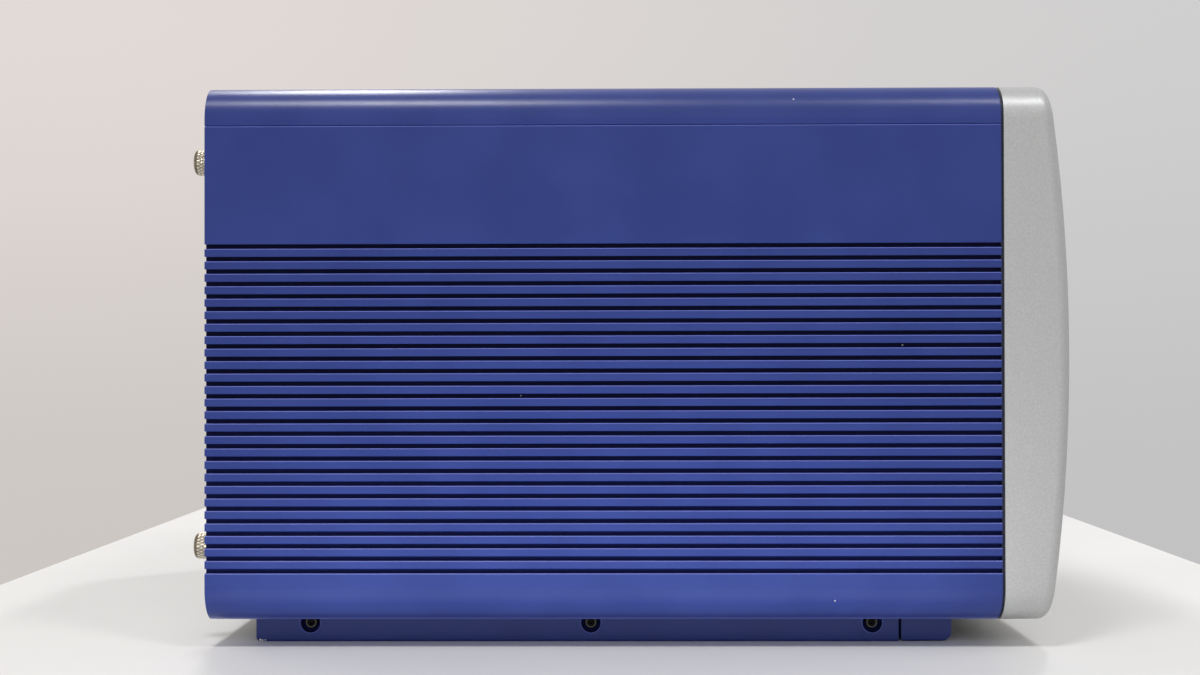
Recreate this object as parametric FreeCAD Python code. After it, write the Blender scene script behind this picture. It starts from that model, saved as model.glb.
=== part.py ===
import FreeCAD, Part
import math
import os

# Bench-top electrochemical measurement system: a finned aluminium case round a card cage.
# Millimetres. The origin is under the middle of the case, on the surface it stands on.
# +Z is up, the front bezel faces -Y, and "left" is the -X side.

# Card cage and the plug-in modules that set the width of the case
UNIT_W = 5.08
SINGLE_UNITS = 14
SLOT_COUNT = 6
CAGE_SIDE_CLEARANCE = 0.5
CAGE_PLATE_T = 3.0
CAGE_PLATE_MARGIN = 2.05
CAGE_SETBACK = 9.0
PANEL_T = 2.5
PANEL_GAP = 0.3
PANEL_EDGE_LAP = 3.2
BOARD_H = 233.35
BOARD_L = 220.0
BOARD_T = 1.6
BOARD_OFFSET = 12.0
BOARD_RAIL_GAP = 7.075
CAGE_RAIL_H = 8.0
CAGE_RAIL_D = 16.0
CAGE_RAIL_SLOT_H = 3.2
CAGE_RAIL_SLOT_D = 8.0
GUIDE_W = 6.0
GUIDE_LIP = 3.2
GUIDE_CLEARANCE = 0.2
GUIDE_END_CLEARANCE = 0.3
CONNECTOR_H = 94.0
CONNECTOR_W = 11.0
CONNECTOR_D = 9.0
CONNECTOR_DROP = 7.675
BACKPLANE_T = 2.4
BACKPLANE_SIDE_CLEARANCE = 0.4

# Case shell
CASE_L = 457.5
FLOOR_GAP = 15.0
CORNER_R = 20.0
SIDE_WEB = 4.1
GROOVE_DEPTH = 4.0
GROOVE_W = 2.65
GROOVE_PITCH = 7.18
FIN_CHAMFER = 0.45
UPPER_FLAT = 68.1
LOWER_FLAT = 28.6
COVER_SKIRT = 3.7
SEAM_GAP = 0.3
SEAM_CHAMFER = 0.5
COVER_T = 3.0
LIP_CLEARANCE = 0.4
LIP_T = 3.0
LIP_H = 5.5
FLANGE_T = 5.0
FLANGE_REACH = 8.0
INNER_CORNER_R = 12.0
PAN_T = 2.0
PAN_EDGE_CLEARANCE = 1.0
PAN_SLOT_COUNT = 7
PAN_SLOT_L = 120.0
PAN_SLOT_W = 3.5
PAN_SLOT_PITCH = 24.0
PAN_SLOT_SETBACK = 30.0
PAN_SLOT_OFFSET = 80.0

# Bezel and its gasket
BEZEL_DEPTH = 38.4
BEZEL_BOW_R = 1070.0
BEZEL_EDGE_R = 7.0
BEZEL_PANEL_CLEARANCE = 3.0
BEZEL_BORDER = 21.05
GASKET_T = 1.7
GASKET_INSET = 1.5

# Foot rails and tilt feet
RAIL_FLANGE_CLEARANCE = 2.0
RAIL_W = 22.0
RAIL_SETBACK = 23.5
RAIL_CORNER_R = 2.5
RAIL_SCREW_END = 32.0
RAIL_SCREW_FRONT = 15.4
RAIL_SCREW_COUNT = 3
RAIL_SCREW_Z = 10.9
COUNTERBORE_D = 11.5
COUNTERBORE_DEPTH = 6.5
CAP_HEAD_D = 7.0
CAP_HEAD_H = 4.0
CAP_SOCKET_AF = 3.0
CAP_SOCKET_DEPTH = 2.0
CLEARANCE_HOLE = 0.5
BRACKET_T = 3.0
BRACKET_LEG = 14.0
BRACKET_FLOOR_GAP = 4.0
SLIT_W = 1.6
TILT_L = 29.5
TILT_FLOOR_CLEARANCE = 0.4
TILT_TOP_CLEARANCE = 0.5
TILT_SIDE_CLEARANCE = 0.3
TILT_KNUCKLE_R = 6.5
TILT_TOE_R = 5.5
TILT_HEEL_CHAMFER = 1.0
TILT_PIN_D = 5.0
TILT_PIN_REACH = 16.0
RUNNING_CLEARANCE = 0.05

# Rear cover and what it carries
REAR_RECESS = 5.0
REAR_COVER_T = 3.0
REAR_COVER_CLEARANCE = 0.4
THUMB_STANDOUT = 12.8
THUMB_D = 15.4
THUMB_SHANK_D = 5.0
THUMB_SIDE_INSET = 30.0
THUMB_EDGE_INSET = 41.5
BLOCK_H = 18.0
BLOCK_D = 14.0
BLOCK_OVERHANG = 9.0
FAN_SIZE = 119.0
FAN_DEPTH = 25.4
FAN_SLOT_COUNT = 13
FAN_SLOT_W = 5.0
FAN_SLOT_PITCH = 8.5
FAN_WALL = 2.0
FAN_TIP_CLEARANCE = 1.2
FAN_STRUT_LAP = 1.0
FAN_RISE = 52.0
FAN_HUB_D = 40.0
FAN_HUB_RECESS = 3.6
FAN_STRUT_T = 4.0
FAN_STRUT_W = 6.0
FAN_STRUT_COUNT = 4
FAN_RUNNING_GAP = 1.0
FAN_SHAFT_D = 8.0
FAN_SHAFT_L = 4.0
FAN_BLADE_COUNT = 5
FAN_BLADE_T = 1.8
FAN_BLADE_PITCH = 38.0
FAN_BLADE_CHORD = 24.0
INLET_SIDE_INSET = 75.0
INLET_RISE = 69.0
INLET_W = 31.0
INLET_H = 66.0
INLET_FLANGE_T = 3.0
INLET_FLANGE_LAP = 2.0
INLET_BODY_D = 26.0
INLET_CAVITY_W = 24.0
INLET_CAVITY_H = 16.6
INLET_CAVITY_D = 16.0
INLET_CAVITY_CHAMFER = 4.0
INLET_CAVITY_DROP = 19.0
INLET_PIN_W = 2.0
INLET_PIN_H = 4.0
INLET_PIN_L = 14.0
INLET_PIN_SPREAD = 7.0
INLET_PIN_DROP = 2.0
FUSE_W = 24.0
FUSE_H = 9.0
FUSE_D = 18.0
FUSE_LIP = 1.2
FUSE_GAP = 0.3
FUSE_DROP = 3.0
SWITCH_W = 13.0
SWITCH_R = 9.5
SWITCH_RISE = 19.5
SWITCH_TILT = 9.0
SWITCH_PIVOT_DEPTH = 5.5
SWITCH_GAP = 0.25
PORT_SIDE_INSET = 75.0
PORT_RISE = 69.0
PORT_W = 16.0
PORT_H = 14.0
PORT_DEPTH = 18.0
PORT_LAP = 1.2
PORT_CAVITY_W = 11.8
PORT_CAVITY_H = 8.0
PORT_CAVITY_D = 13.0
PORT_NOTCH_W = 6.0
PORT_NOTCH_H = 2.0
CUTOUT_CLEARANCE = 0.2
EARTH_X = 0.0
EARTH_RISE = 45.0
EARTH_FLANGE_D = 12.0
EARTH_FLANGE_T = 2.5
EARTH_BODY_D = 8.0
EARTH_BODY_L = 18.0
EARTH_BORE_D = 4.0
EARTH_BORE_DEPTH = 14.0

# Power supply behind the card cage
SUPPLY_W = 220.0
SUPPLY_H = 62.0
SUPPLY_FRONT_GAP = 34.0
SUPPLY_REAR_GAP = 35.1
SUPPLY_FOOT_W = 10.0
SUPPLY_FOOT_T = 2.0

# Modules: sockets, handles, screws and board parts
SOCKET_SPACING = 60.0
SOCKET_ROWS = 3
SOCKET_HANDLE_GAP = 30.0
SOCKET_D = 9.6
SOCKET_L = 13.0
SOCKET_NUT_AF = 13.0
SOCKET_NUT_T = 2.4
HANDLE_W = 11.0
HANDLE_H = 27.0
HANDLE_REACH = 26.0
HANDLE_WAIST = 4.0
HANDLE_NOSE_CHAMFER = 3.0
HANDLE_EDGE = 26.95
CAN_T = 13.0
CAN_L = 96.0
CAN_EDGE = 24.675
CAN_SETBACK = 50.0
CAN_RISE = 8.0
WIDE_CAN_T = 40.0

# Sizes that follow from the ones above
cage_units = SLOT_COUNT * SINGLE_UNITS
double_units = 2 * SINGLE_UNITS
half_cage = cage_units * UNIT_W / 2 + CAGE_SIDE_CLEARANCE
plate_outer = half_cage + CAGE_PLATE_T
half_w = plate_outer + SIDE_WEB + GROOVE_DEPTH
wall_t = GROOVE_DEPTH + SIDE_WEB
rail_inner_z = BOARD_H / 2 + BOARD_RAIL_GAP
rail_line = rail_inner_z + CAGE_RAIL_H / 2
panel_half_h = rail_line + PANEL_EDGE_LAP
opening_half_w = half_cage
opening_half_h = panel_half_h + BEZEL_PANEL_CLEARANCE
case_h = 2 * (opening_half_h + BEZEL_BORDER)
case_bottom = FLOOR_GAP
case_top = case_bottom + case_h
mid_z = case_bottom + case_h / 2
seam_drop = CORNER_R + COVER_SKIRT
seam_z = case_top - seam_drop
fin_zone = case_h - seam_drop - UPPER_FLAT - LOWER_FLAT
groove_count = 1 + int((fin_zone - GROOVE_W) / GROOVE_PITCH)
overall_l = BEZEL_DEPTH + GASKET_T + CASE_L + THUMB_STANDOUT
bezel_front = -overall_l / 2
bezel_rear = bezel_front + BEZEL_DEPTH
case_front = bezel_rear + GASKET_T
case_rear = case_front + CASE_L
flange_top = case_bottom + FLANGE_T
pan_top = flange_top + PAN_T
cover_outer = case_rear - REAR_RECESS
cover_inner = cover_outer - REAR_COVER_T
cage_front = case_front + CAGE_SETBACK
panel_front = cage_front - PANEL_T
board_rear = cage_front + BOARD_L
backplane_front = board_rear + CONNECTOR_D
rail_outer = half_w - CORNER_R - FLANGE_REACH - RAIL_FLANGE_CLEARANCE
rail_inner = rail_outer - RAIL_W
rail_top = flange_top
rail_front = case_front + RAIL_SETBACK
rail_rear = case_rear - RAIL_SETBACK
rail_bar_front = rail_front + TILT_L + SLIT_W
tilt_pivot_y = rail_front + TILT_KNUCKLE_R
tilt_pivot_z = rail_top - TILT_TOP_CLEARANCE - TILT_KNUCKLE_R
thumb_x = half_w - THUMB_SIDE_INSET
thumb_levels = {"upper": case_top - THUMB_EDGE_INSET, "lower": case_bottom + THUMB_EDGE_INSET}
fan_bore_d = FAN_SIZE - 2 * FAN_WALL
fan_z = mid_z + FAN_RISE
inlet_x = half_w - INLET_SIDE_INSET
inlet_z = case_bottom + INLET_RISE
port_x = PORT_SIDE_INSET - half_w
port_z = case_bottom + PORT_RISE
earth_z = case_bottom + EARTH_RISE
handle_z = panel_half_h - HANDLE_EDGE
can_h = BOARD_H / 2 - CAN_EDGE - CAN_RISE

LEFT = -1
RIGHT = 1
SIDES = {"left": LEFT, "right": RIGHT}


def vec(x, y, z):
    return FreeCAD.Vector(x, y, z)


def box(x0, x1, y0, y1, z0, z1):
    return Part.makeBox(x1 - x0, y1 - y0, z1 - z0, vec(x0, y0, z0))


def rod_y(x, z, diameter, y0, y1):
    return Part.makeCylinder(diameter / 2, y1 - y0, vec(x, y0, z), vec(0, 1, 0))


def rod_x(y, z, diameter, x0, x1):
    return Part.makeCylinder(diameter / 2, x1 - x0, vec(x0, y, z), vec(1, 0, 0))


def line(a, b):
    return Part.LineSegment(a, b).toShape()


def arc(a, through, b):
    return Part.Arc(a, through, b).toShape()


def corner_arc(centre, radius, start_deg, end_deg, place):
    """Round stretch about a centre, in the plane that place() maps to space."""
    points = []
    for angle in (start_deg, (start_deg + end_deg) / 2, end_deg):
        turn = math.radians(angle)
        points.append(place(centre[0] + radius * math.cos(turn), centre[1] + radius * math.sin(turn)))
    return arc(*points)


def outline_face(items):
    """Face inside a loop of corners (vectors) and round stretches (arcs), joined by straight lines."""
    ends = []
    for item in items:
        if isinstance(item, FreeCAD.Vector):
            ends.append((item, item))
        else:
            ends.append((item.firstVertex().Point, item.lastVertex().Point))
    loop = []
    for index, item in enumerate(items):
        if not isinstance(item, FreeCAD.Vector):
            loop.append(item)
        here = ends[index][1]
        following = ends[(index + 1) % len(items)][0]
        if here.distanceToPoint(following) > 1e-6:
            loop.append(line(here, following))
    return Part.Face(Part.Wire(loop))


def turned_y(x, z, profile):
    """Turned piece about an axis along Y; the profile is a list of (radius, y) corners."""
    corners = [vec(x + radius, y, z) for radius, y in profile]
    return outline_face(corners).revolve(vec(x, 0, z), vec(0, 1, 0), 360)


def hexagon(across_flats, place):
    """Six corners of a hexagon, in the plane that place() maps to space."""
    reach = across_flats / 2 / math.cos(math.radians(30))
    corners = []
    for index in range(6):
        turn = math.radians(60 * index)
        corners.append(place(reach * math.cos(turn), reach * math.sin(turn)))
    return outline_face(corners)


def rounded_slab_y(x0, x1, z0, z1, radius, y0, y1):
    """Slab facing along Y with four round corners."""
    def place(x, z):
        return vec(x, y0, z)

    corners = [
        corner_arc((x1 - radius, z1 - radius), radius, 0, 90, place),
        corner_arc((x0 + radius, z1 - radius), radius, 90, 180, place),
        corner_arc((x0 + radius, z0 + radius), radius, 180, 270, place),
        corner_arc((x1 - radius, z0 + radius), radius, 270, 360, place),
    ]
    return outline_face(corners).extrude(vec(0, y1 - y0, 0))


def mirrored(shape):
    """The same piece for the other side of the case."""
    return shape.mirror(vec(0, 0, 0), vec(1, 0, 0))


def on_side(shape, side):
    """A piece modelled on the left side, put on the side asked for."""
    return shape if side == LEFT else mirrored(shape)


def group(solids):
    return Part.makeCompound(solids)


def save(name, shape):
    shape.exportStep("parts/" + name + ".step")


def side_panel(side):
    """Extruded side: long fins outside, rounded lower corner, inner flange, stepped lip at the seam."""
    def place(depth, z):
        return vec(-half_w + depth, case_front, z)

    panel_top = seam_z - SEAM_GAP / 2
    outline = [place(SEAM_CHAMFER, panel_top), place(0, panel_top - SEAM_CHAMFER)]
    for index in range(groove_count):
        groove_top = seam_z - UPPER_FLAT - index * GROOVE_PITCH
        groove_low = groove_top - GROOVE_W
        outline += [
            place(0, groove_top + FIN_CHAMFER),
            place(FIN_CHAMFER, groove_top),
            place(GROOVE_DEPTH, groove_top),
            place(GROOVE_DEPTH, groove_low),
            place(FIN_CHAMFER, groove_low),
            place(0, groove_low - FIN_CHAMFER),
        ]
    inner_centre = (wall_t + INNER_CORNER_R, flange_top + INNER_CORNER_R)
    lip_outer = COVER_T + LIP_CLEARANCE
    lip_inner = lip_outer + LIP_T
    outline += [
        corner_arc((CORNER_R, case_bottom + CORNER_R), CORNER_R, 180, 270, place),
        place(CORNER_R + FLANGE_REACH, case_bottom),
        place(CORNER_R + FLANGE_REACH, flange_top),
        corner_arc(inner_centre, INNER_CORNER_R, 270, 180, place),
        place(wall_t, panel_top),
        place(lip_inner, panel_top),
        place(lip_inner, panel_top + LIP_H),
        place(lip_outer, panel_top + LIP_H),
        place(lip_outer, panel_top),
    ]
    return on_side(outline_face(outline).extrude(vec(0, CASE_L, 0)), side)


def top_cover():
    """Cover that wraps both upper corners and ends in a chamfered edge at the seam."""
    def place(x, z):
        return vec(x, case_front, z)

    skirt_end = seam_z + SEAM_GAP / 2
    arc_x = half_w - CORNER_R
    arc_z = case_top - CORNER_R
    inner_r = CORNER_R - COVER_T
    outline = [
        place(-half_w, skirt_end + SEAM_CHAMFER),
        corner_arc((-arc_x, arc_z), CORNER_R, 180, 90, place),
        corner_arc((arc_x, arc_z), CORNER_R, 90, 0, place),
        place(half_w, skirt_end + SEAM_CHAMFER),
        place(half_w - SEAM_CHAMFER, skirt_end),
        place(half_w - COVER_T, skirt_end),
        corner_arc((arc_x, arc_z), inner_r, 0, 90, place),
        corner_arc((-arc_x, arc_z), inner_r, 90, 180, place),
        place(-half_w + COVER_T, skirt_end),
        place(-half_w + SEAM_CHAMFER, skirt_end),
    ]
    return outline_face(outline).extrude(vec(0, CASE_L, 0))


def base_pan():
    """Sheet that lies on the flanges of the side panels, with slots for cooling air."""
    reach = half_w - CORNER_R - PAN_EDGE_CLEARANCE
    pan = box(-reach, reach, case_front, case_rear, flange_top, pan_top)
    for row in (LEFT, RIGHT):
        centre = row * PAN_SLOT_OFFSET
        for index in range(PAN_SLOT_COUNT):
            y = cage_front + PAN_SLOT_SETBACK + index * PAN_SLOT_PITCH
            pan = pan.cut(box(
                centre - PAN_SLOT_L / 2, centre + PAN_SLOT_L / 2, y, y + PAN_SLOT_W, flange_top, pan_top,
            ))
    return pan


def front_opening(y0, y1):
    """The window that the module panels stand in."""
    return box(-opening_half_w, opening_half_w, y0, y1, mid_z - opening_half_h, mid_z + opening_half_h)


def front_bezel():
    """Cast frame with a bowed front and soft outer edges."""
    blank = rounded_slab_y(-half_w, half_w, case_bottom, case_top, CORNER_R, bezel_front, bezel_rear)
    bow = rod_x(bezel_front + BEZEL_BOW_R, mid_z, 2 * BEZEL_BOW_R, -half_w, half_w)
    blank = blank.common(bow)
    front_limit = bezel_rear - BEZEL_EDGE_R
    front_edges = [edge for edge in blank.Edges if edge.BoundBox.YMax < front_limit]
    blank = blank.makeFillet(BEZEL_EDGE_R, front_edges)
    return blank.cut(front_opening(bezel_front, bezel_rear))


def bezel_gasket():
    """Dark strip pressed between the case and the bezel, set in a little from their outline."""
    reach = half_w - GASKET_INSET
    ring = rounded_slab_y(
        -reach, reach, case_bottom + GASKET_INSET, case_top - GASKET_INSET,
        CORNER_R - GASKET_INSET, bezel_rear, case_front,
    )
    return ring.cut(front_opening(bezel_rear, case_front))


def rail_screw_places():
    first = rail_bar_front + RAIL_SCREW_FRONT
    pitch = (rail_rear - RAIL_SCREW_END - first) / (RAIL_SCREW_COUNT - 1)
    return [first + index * pitch for index in range(RAIL_SCREW_COUNT)]


def foot_rail(side):
    """Bar set in from the side, with counterbored holes along its outer face."""
    def place(y, z):
        return vec(-rail_outer, y, z)

    outline = [
        place(rail_bar_front, 0),
        corner_arc((rail_rear - RAIL_CORNER_R, RAIL_CORNER_R), RAIL_CORNER_R, 270, 360, place),
        place(rail_rear, rail_top),
        place(rail_bar_front, rail_top),
    ]
    rail = outline_face(outline).extrude(vec(RAIL_W, 0, 0))
    for y in rail_screw_places():
        rail = rail.cut(rod_x(y, RAIL_SCREW_Z, COUNTERBORE_D, -rail_outer, -rail_outer + COUNTERBORE_DEPTH))
    return on_side(rail, side)


def rail_bracket(side):
    """Angle under the pan that the foot rail is screwed to; it also holds the tilt foot's pin."""
    def place(x, z):
        return vec(x, rail_front, z)

    inner_leg = -rail_inner + BRACKET_T
    outline = [
        place(-rail_inner, BRACKET_FLOOR_GAP),
        place(inner_leg, BRACKET_FLOOR_GAP),
        place(inner_leg, rail_top - BRACKET_T),
        place(-rail_inner + BRACKET_LEG, rail_top - BRACKET_T),
        place(-rail_inner + BRACKET_LEG, rail_top),
        place(-rail_inner, rail_top),
    ]
    bracket = outline_face(outline).extrude(vec(0, rail_rear - rail_front, 0))
    bracket = bracket.cut(rod_x(tilt_pivot_y, tilt_pivot_z, TILT_PIN_D, -rail_inner, inner_leg))
    return on_side(bracket, side)


def foot_rail_screws():
    """Socket head cap screws, three to a rail, with their heads at the bottom of the counterbores."""
    screws = []
    head_end = -rail_outer + COUNTERBORE_DEPTH
    head_face = head_end - CAP_HEAD_H
    for side in SIDES.values():
        for middle in rail_screw_places():
            def place(y, z):
                return vec(head_face, middle + y, RAIL_SCREW_Z + z)

            head = rod_x(middle, RAIL_SCREW_Z, CAP_HEAD_D, head_face, head_end)
            socket = hexagon(CAP_SOCKET_AF, place).extrude(vec(CAP_SOCKET_DEPTH, 0, 0))
            screws.append(on_side(head.cut(socket), side))
    return group(screws)


def tilt_foot(side):
    """Short front piece of the foot rail, which folds down about a pin near its upper front corner."""
    def place(y, z):
        return vec(-rail_outer, y, z)

    heel = rail_front + TILT_L
    low = TILT_FLOOR_CLEARANCE
    high = tilt_pivot_z + TILT_KNUCKLE_R
    outline = [
        corner_arc((rail_front + TILT_TOE_R, low + TILT_TOE_R), TILT_TOE_R, 180, 270, place),
        place(heel - TILT_HEEL_CHAMFER, low),
        place(heel, low + TILT_HEEL_CHAMFER),
        place(heel, high - TILT_HEEL_CHAMFER),
        place(heel - TILT_HEEL_CHAMFER, high),
        corner_arc((tilt_pivot_y, tilt_pivot_z), TILT_KNUCKLE_R, 90, 180, place),
    ]
    foot = outline_face(outline).extrude(vec(RAIL_W - TILT_SIDE_CLEARANCE, 0, 0))
    bore_d = TILT_PIN_D + 2 * RUNNING_CLEARANCE
    bore_end = -rail_inner - TILT_PIN_REACH - TILT_SIDE_CLEARANCE
    foot = foot.cut(rod_x(tilt_pivot_y, tilt_pivot_z, bore_d, bore_end, -rail_inner))
    return on_side(foot, side)


def tilt_foot_pins():
    """Pins pressed into the brackets; the tilt feet turn on them."""
    start = -rail_inner - TILT_PIN_REACH
    pin = rod_x(tilt_pivot_y, tilt_pivot_z, TILT_PIN_D, start, -rail_inner + BRACKET_T)
    return group([on_side(pin, side) for side in SIDES.values()])


def rear_cover():
    """Plate inside the rear end of the shell, with slots for the fan and cut-outs for what it carries."""
    def place(x, z):
        return vec(x, cover_inner, z)

    arc_x = half_w - CORNER_R
    arc_z = case_top - CORNER_R
    upper_r = CORNER_R - COVER_T - REAR_COVER_CLEARANCE
    low_x = half_w - wall_t - INNER_CORNER_R
    low_z = flange_top + INNER_CORNER_R
    low_r = INNER_CORNER_R - REAR_COVER_CLEARANCE
    room = outline_face([
        corner_arc((arc_x, arc_z), upper_r, 0, 90, place),
        corner_arc((-arc_x, arc_z), upper_r, 90, 180, place),
        corner_arc((-low_x, low_z), low_r, 180, 270, place),
        corner_arc((low_x, low_z), low_r, 270, 360, place),
    ]).extrude(vec(0, REAR_COVER_T, 0))
    reach = half_w - wall_t - REAR_COVER_CLEARANCE
    low = pan_top + REAR_COVER_CLEARANCE
    plate = room.common(box(-reach, reach, cover_inner, cover_outer, low, case_top))
    for index in range(FAN_SLOT_COUNT):
        x = (index - (FAN_SLOT_COUNT - 1) / 2) * FAN_SLOT_PITCH
        reach_z = math.sqrt((fan_bore_d / 2) ** 2 - (abs(x) + FAN_SLOT_W / 2) ** 2)
        left = x - FAN_SLOT_W / 2
        low = fan_z - reach_z
        plate = plate.cut(box(left, left + FAN_SLOT_W, cover_inner, cover_outer, low, low + 2 * reach_z))
    for x in (-thumb_x, thumb_x):
        for z in thumb_levels.values():
            plate = plate.cut(rod_y(x, z, THUMB_SHANK_D + CLEARANCE_HOLE, cover_inner, cover_outer))
    cutouts = (
        (inlet_x, inlet_z, INLET_W / 2 - INLET_FLANGE_LAP, INLET_H / 2 - INLET_FLANGE_LAP),
        (port_x, port_z, PORT_W / 2, PORT_H / 2),
    )
    for x, z, half_x, half_z in cutouts:
        half_x += CUTOUT_CLEARANCE
        half_z += CUTOUT_CLEARANCE
        plate = plate.cut(box(x - half_x, x + half_x, cover_inner, cover_outer, z - half_z, z + half_z))
    earth_hole_d = EARTH_BODY_D + CUTOUT_CLEARANCE
    return plate.cut(rod_y(EARTH_X, earth_z, earth_hole_d, cover_inner, cover_outer))


def corner_blocks():
    """Tapped blocks on the inner faces of the side panels, which the thumbscrews screw into."""
    blocks = []
    for side in SIDES.values():
        for z in thumb_levels.values():
            block = box(
                -half_w + wall_t, -thumb_x + BLOCK_OVERHANG, cover_inner - BLOCK_D, cover_inner,
                z - BLOCK_H / 2, z + BLOCK_H / 2,
            )
            hole_d = THUMB_SHANK_D + 2 * RUNNING_CLEARANCE
            hole = rod_y(-thumb_x, z, hole_d, cover_inner - BLOCK_D, cover_inner)
            blocks.append(on_side(block.cut(hole), side))
    return group(blocks)


def thumbscrew(side, level):
    """Turned screw: round grip that seats on the rear cover, and a plain shank."""
    z = thumb_levels[level]
    screw = rod_y(-thumb_x, z, THUMB_SHANK_D, cover_inner - BLOCK_D, cover_outer)
    screw = screw.fuse(rod_y(-thumb_x, z, THUMB_D, cover_outer, case_rear + THUMB_STANDOUT))
    return on_side(screw, side)


def fan_housing():
    """Moulded square frame with a round bore, and a motor plate held by struts."""
    half = FAN_SIZE / 2
    inner = cover_inner - FAN_DEPTH
    plate_face = inner + FAN_STRUT_T
    frame = box(-half, half, inner, cover_inner, fan_z - half, fan_z + half)
    frame = frame.cut(rod_y(0, fan_z, fan_bore_d, inner, cover_inner))
    strut_end = fan_bore_d / 2 + FAN_STRUT_LAP
    strut = box(0, strut_end, inner, plate_face, fan_z - FAN_STRUT_W / 2, fan_z + FAN_STRUT_W / 2)
    for index in range(FAN_STRUT_COUNT):
        arm = strut.copy()
        arm.rotate(vec(0, 0, fan_z), vec(0, 1, 0), 360 / FAN_STRUT_COUNT * (index + 0.5))
        frame = frame.fuse(arm)
    frame = frame.fuse(rod_y(0, fan_z, FAN_HUB_D, inner, plate_face))
    shaft_d = FAN_SHAFT_D + 2 * RUNNING_CLEARANCE
    return frame.cut(rod_y(0, fan_z, shaft_d, inner, plate_face)).removeSplitter()


def fan_rotor():
    """Moulded hub with pitched blades and a short shaft."""
    plate_face = cover_inner - FAN_DEPTH + FAN_STRUT_T
    hub_start = plate_face + FAN_RUNNING_GAP
    hub_end = cover_inner - FAN_HUB_RECESS
    middle = (hub_start + hub_end) / 2
    tip_r = fan_bore_d / 2 - FAN_TIP_CLEARANCE
    root_r = FAN_HUB_D / 2 - FAN_BLADE_T
    half_chord = FAN_BLADE_CHORD / 2
    half_t = FAN_BLADE_T / 2
    blade_end = math.sqrt(tip_r ** 2 - half_chord ** 2)
    blade = box(-half_chord, half_chord, middle - half_t, middle + half_t, root_r, blade_end)
    blade.rotate(vec(0, middle, 0), vec(0, 0, 1), FAN_BLADE_PITCH)
    rotor = rod_y(0, 0, FAN_HUB_D, hub_start, hub_end)
    for index in range(FAN_BLADE_COUNT):
        copy = blade.copy()
        copy.rotate(vec(0, 0, 0), vec(0, 1, 0), 360 / FAN_BLADE_COUNT * index)
        rotor = rotor.fuse(copy)
    rotor = rotor.fuse(rod_y(0, 0, FAN_SHAFT_D, hub_start - FAN_SHAFT_L, hub_start)).removeSplitter()
    rotor.translate(vec(0, 0, fan_z))
    return rotor


def mains_inlet():
    """Moulded inlet: plug cavity with three pins, pockets for the fuse drawer and the rocker switch."""
    face = cover_outer + INLET_FLANGE_T
    back = cover_outer - INLET_BODY_D
    half_x = INLET_W / 2
    half_z = INLET_H / 2
    lap = INLET_FLANGE_LAP
    inlet = box(inlet_x - half_x, inlet_x + half_x, cover_outer, face, inlet_z - half_z, inlet_z + half_z)
    inlet = inlet.fuse(box(
        inlet_x - half_x + lap, inlet_x + half_x - lap, back, cover_outer,
        inlet_z - half_z + lap, inlet_z + half_z - lap,
    ))
    cavity_z = inlet_z - INLET_CAVITY_DROP
    cavity_back = face - INLET_CAVITY_D
    reach_x = INLET_CAVITY_W / 2
    reach_z = INLET_CAVITY_H / 2
    slope = INLET_CAVITY_CHAMFER
    cavity = outline_face([
        vec(inlet_x - reach_x, cavity_back, cavity_z - reach_z),
        vec(inlet_x + reach_x, cavity_back, cavity_z - reach_z),
        vec(inlet_x + reach_x, cavity_back, cavity_z + reach_z - slope),
        vec(inlet_x + reach_x - slope, cavity_back, cavity_z + reach_z),
        vec(inlet_x - reach_x + slope, cavity_back, cavity_z + reach_z),
        vec(inlet_x - reach_x, cavity_back, cavity_z + reach_z - slope),
    ]).extrude(vec(0, INLET_CAVITY_D, 0))
    inlet = inlet.cut(cavity)
    pin_places = (
        (-INLET_PIN_SPREAD, -INLET_PIN_DROP),
        (INLET_PIN_SPREAD, -INLET_PIN_DROP),
        (0, INLET_PIN_DROP),
    )
    for x, z in pin_places:
        inlet = inlet.fuse(box(
            inlet_x + x - INLET_PIN_W / 2, inlet_x + x + INLET_PIN_W / 2,
            cavity_back, cavity_back + INLET_PIN_L,
            cavity_z + z - INLET_PIN_H / 2, cavity_z + z + INLET_PIN_H / 2,
        ))
    fuse_x = FUSE_W / 2 + FUSE_GAP
    fuse_z = FUSE_H / 2 + FUSE_GAP
    fuse_level = inlet_z - FUSE_DROP
    inlet = inlet.cut(box(
        inlet_x - fuse_x, inlet_x + fuse_x, face - FUSE_D, face, fuse_level - fuse_z, fuse_level + fuse_z,
    ))
    switch_level = inlet_z + SWITCH_RISE
    pocket_x = SWITCH_W / 2 + SWITCH_GAP
    pocket_z = SWITCH_R + SWITCH_GAP
    pivot_y = face - SWITCH_PIVOT_DEPTH
    return inlet.cut(box(
        inlet_x - pocket_x, inlet_x + pocket_x, pivot_y - pocket_z, face,
        switch_level - pocket_z, switch_level + pocket_z,
    ))


def fuse_drawer():
    """Drawer that slides out of the inlet, with a lip to pull it by."""
    face = cover_outer + INLET_FLANGE_T
    level = inlet_z - FUSE_DROP
    half_x = FUSE_W / 2
    half_z = FUSE_H / 2
    start = face - FUSE_D + FUSE_GAP
    drawer = box(inlet_x - half_x, inlet_x + half_x, start, face, level - half_z, level + half_z)
    return drawer.fuse(box(
        inlet_x - half_x / 2, inlet_x + half_x / 2, face, face + FUSE_LIP, level - half_z, level - half_z / 3,
    ))


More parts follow.
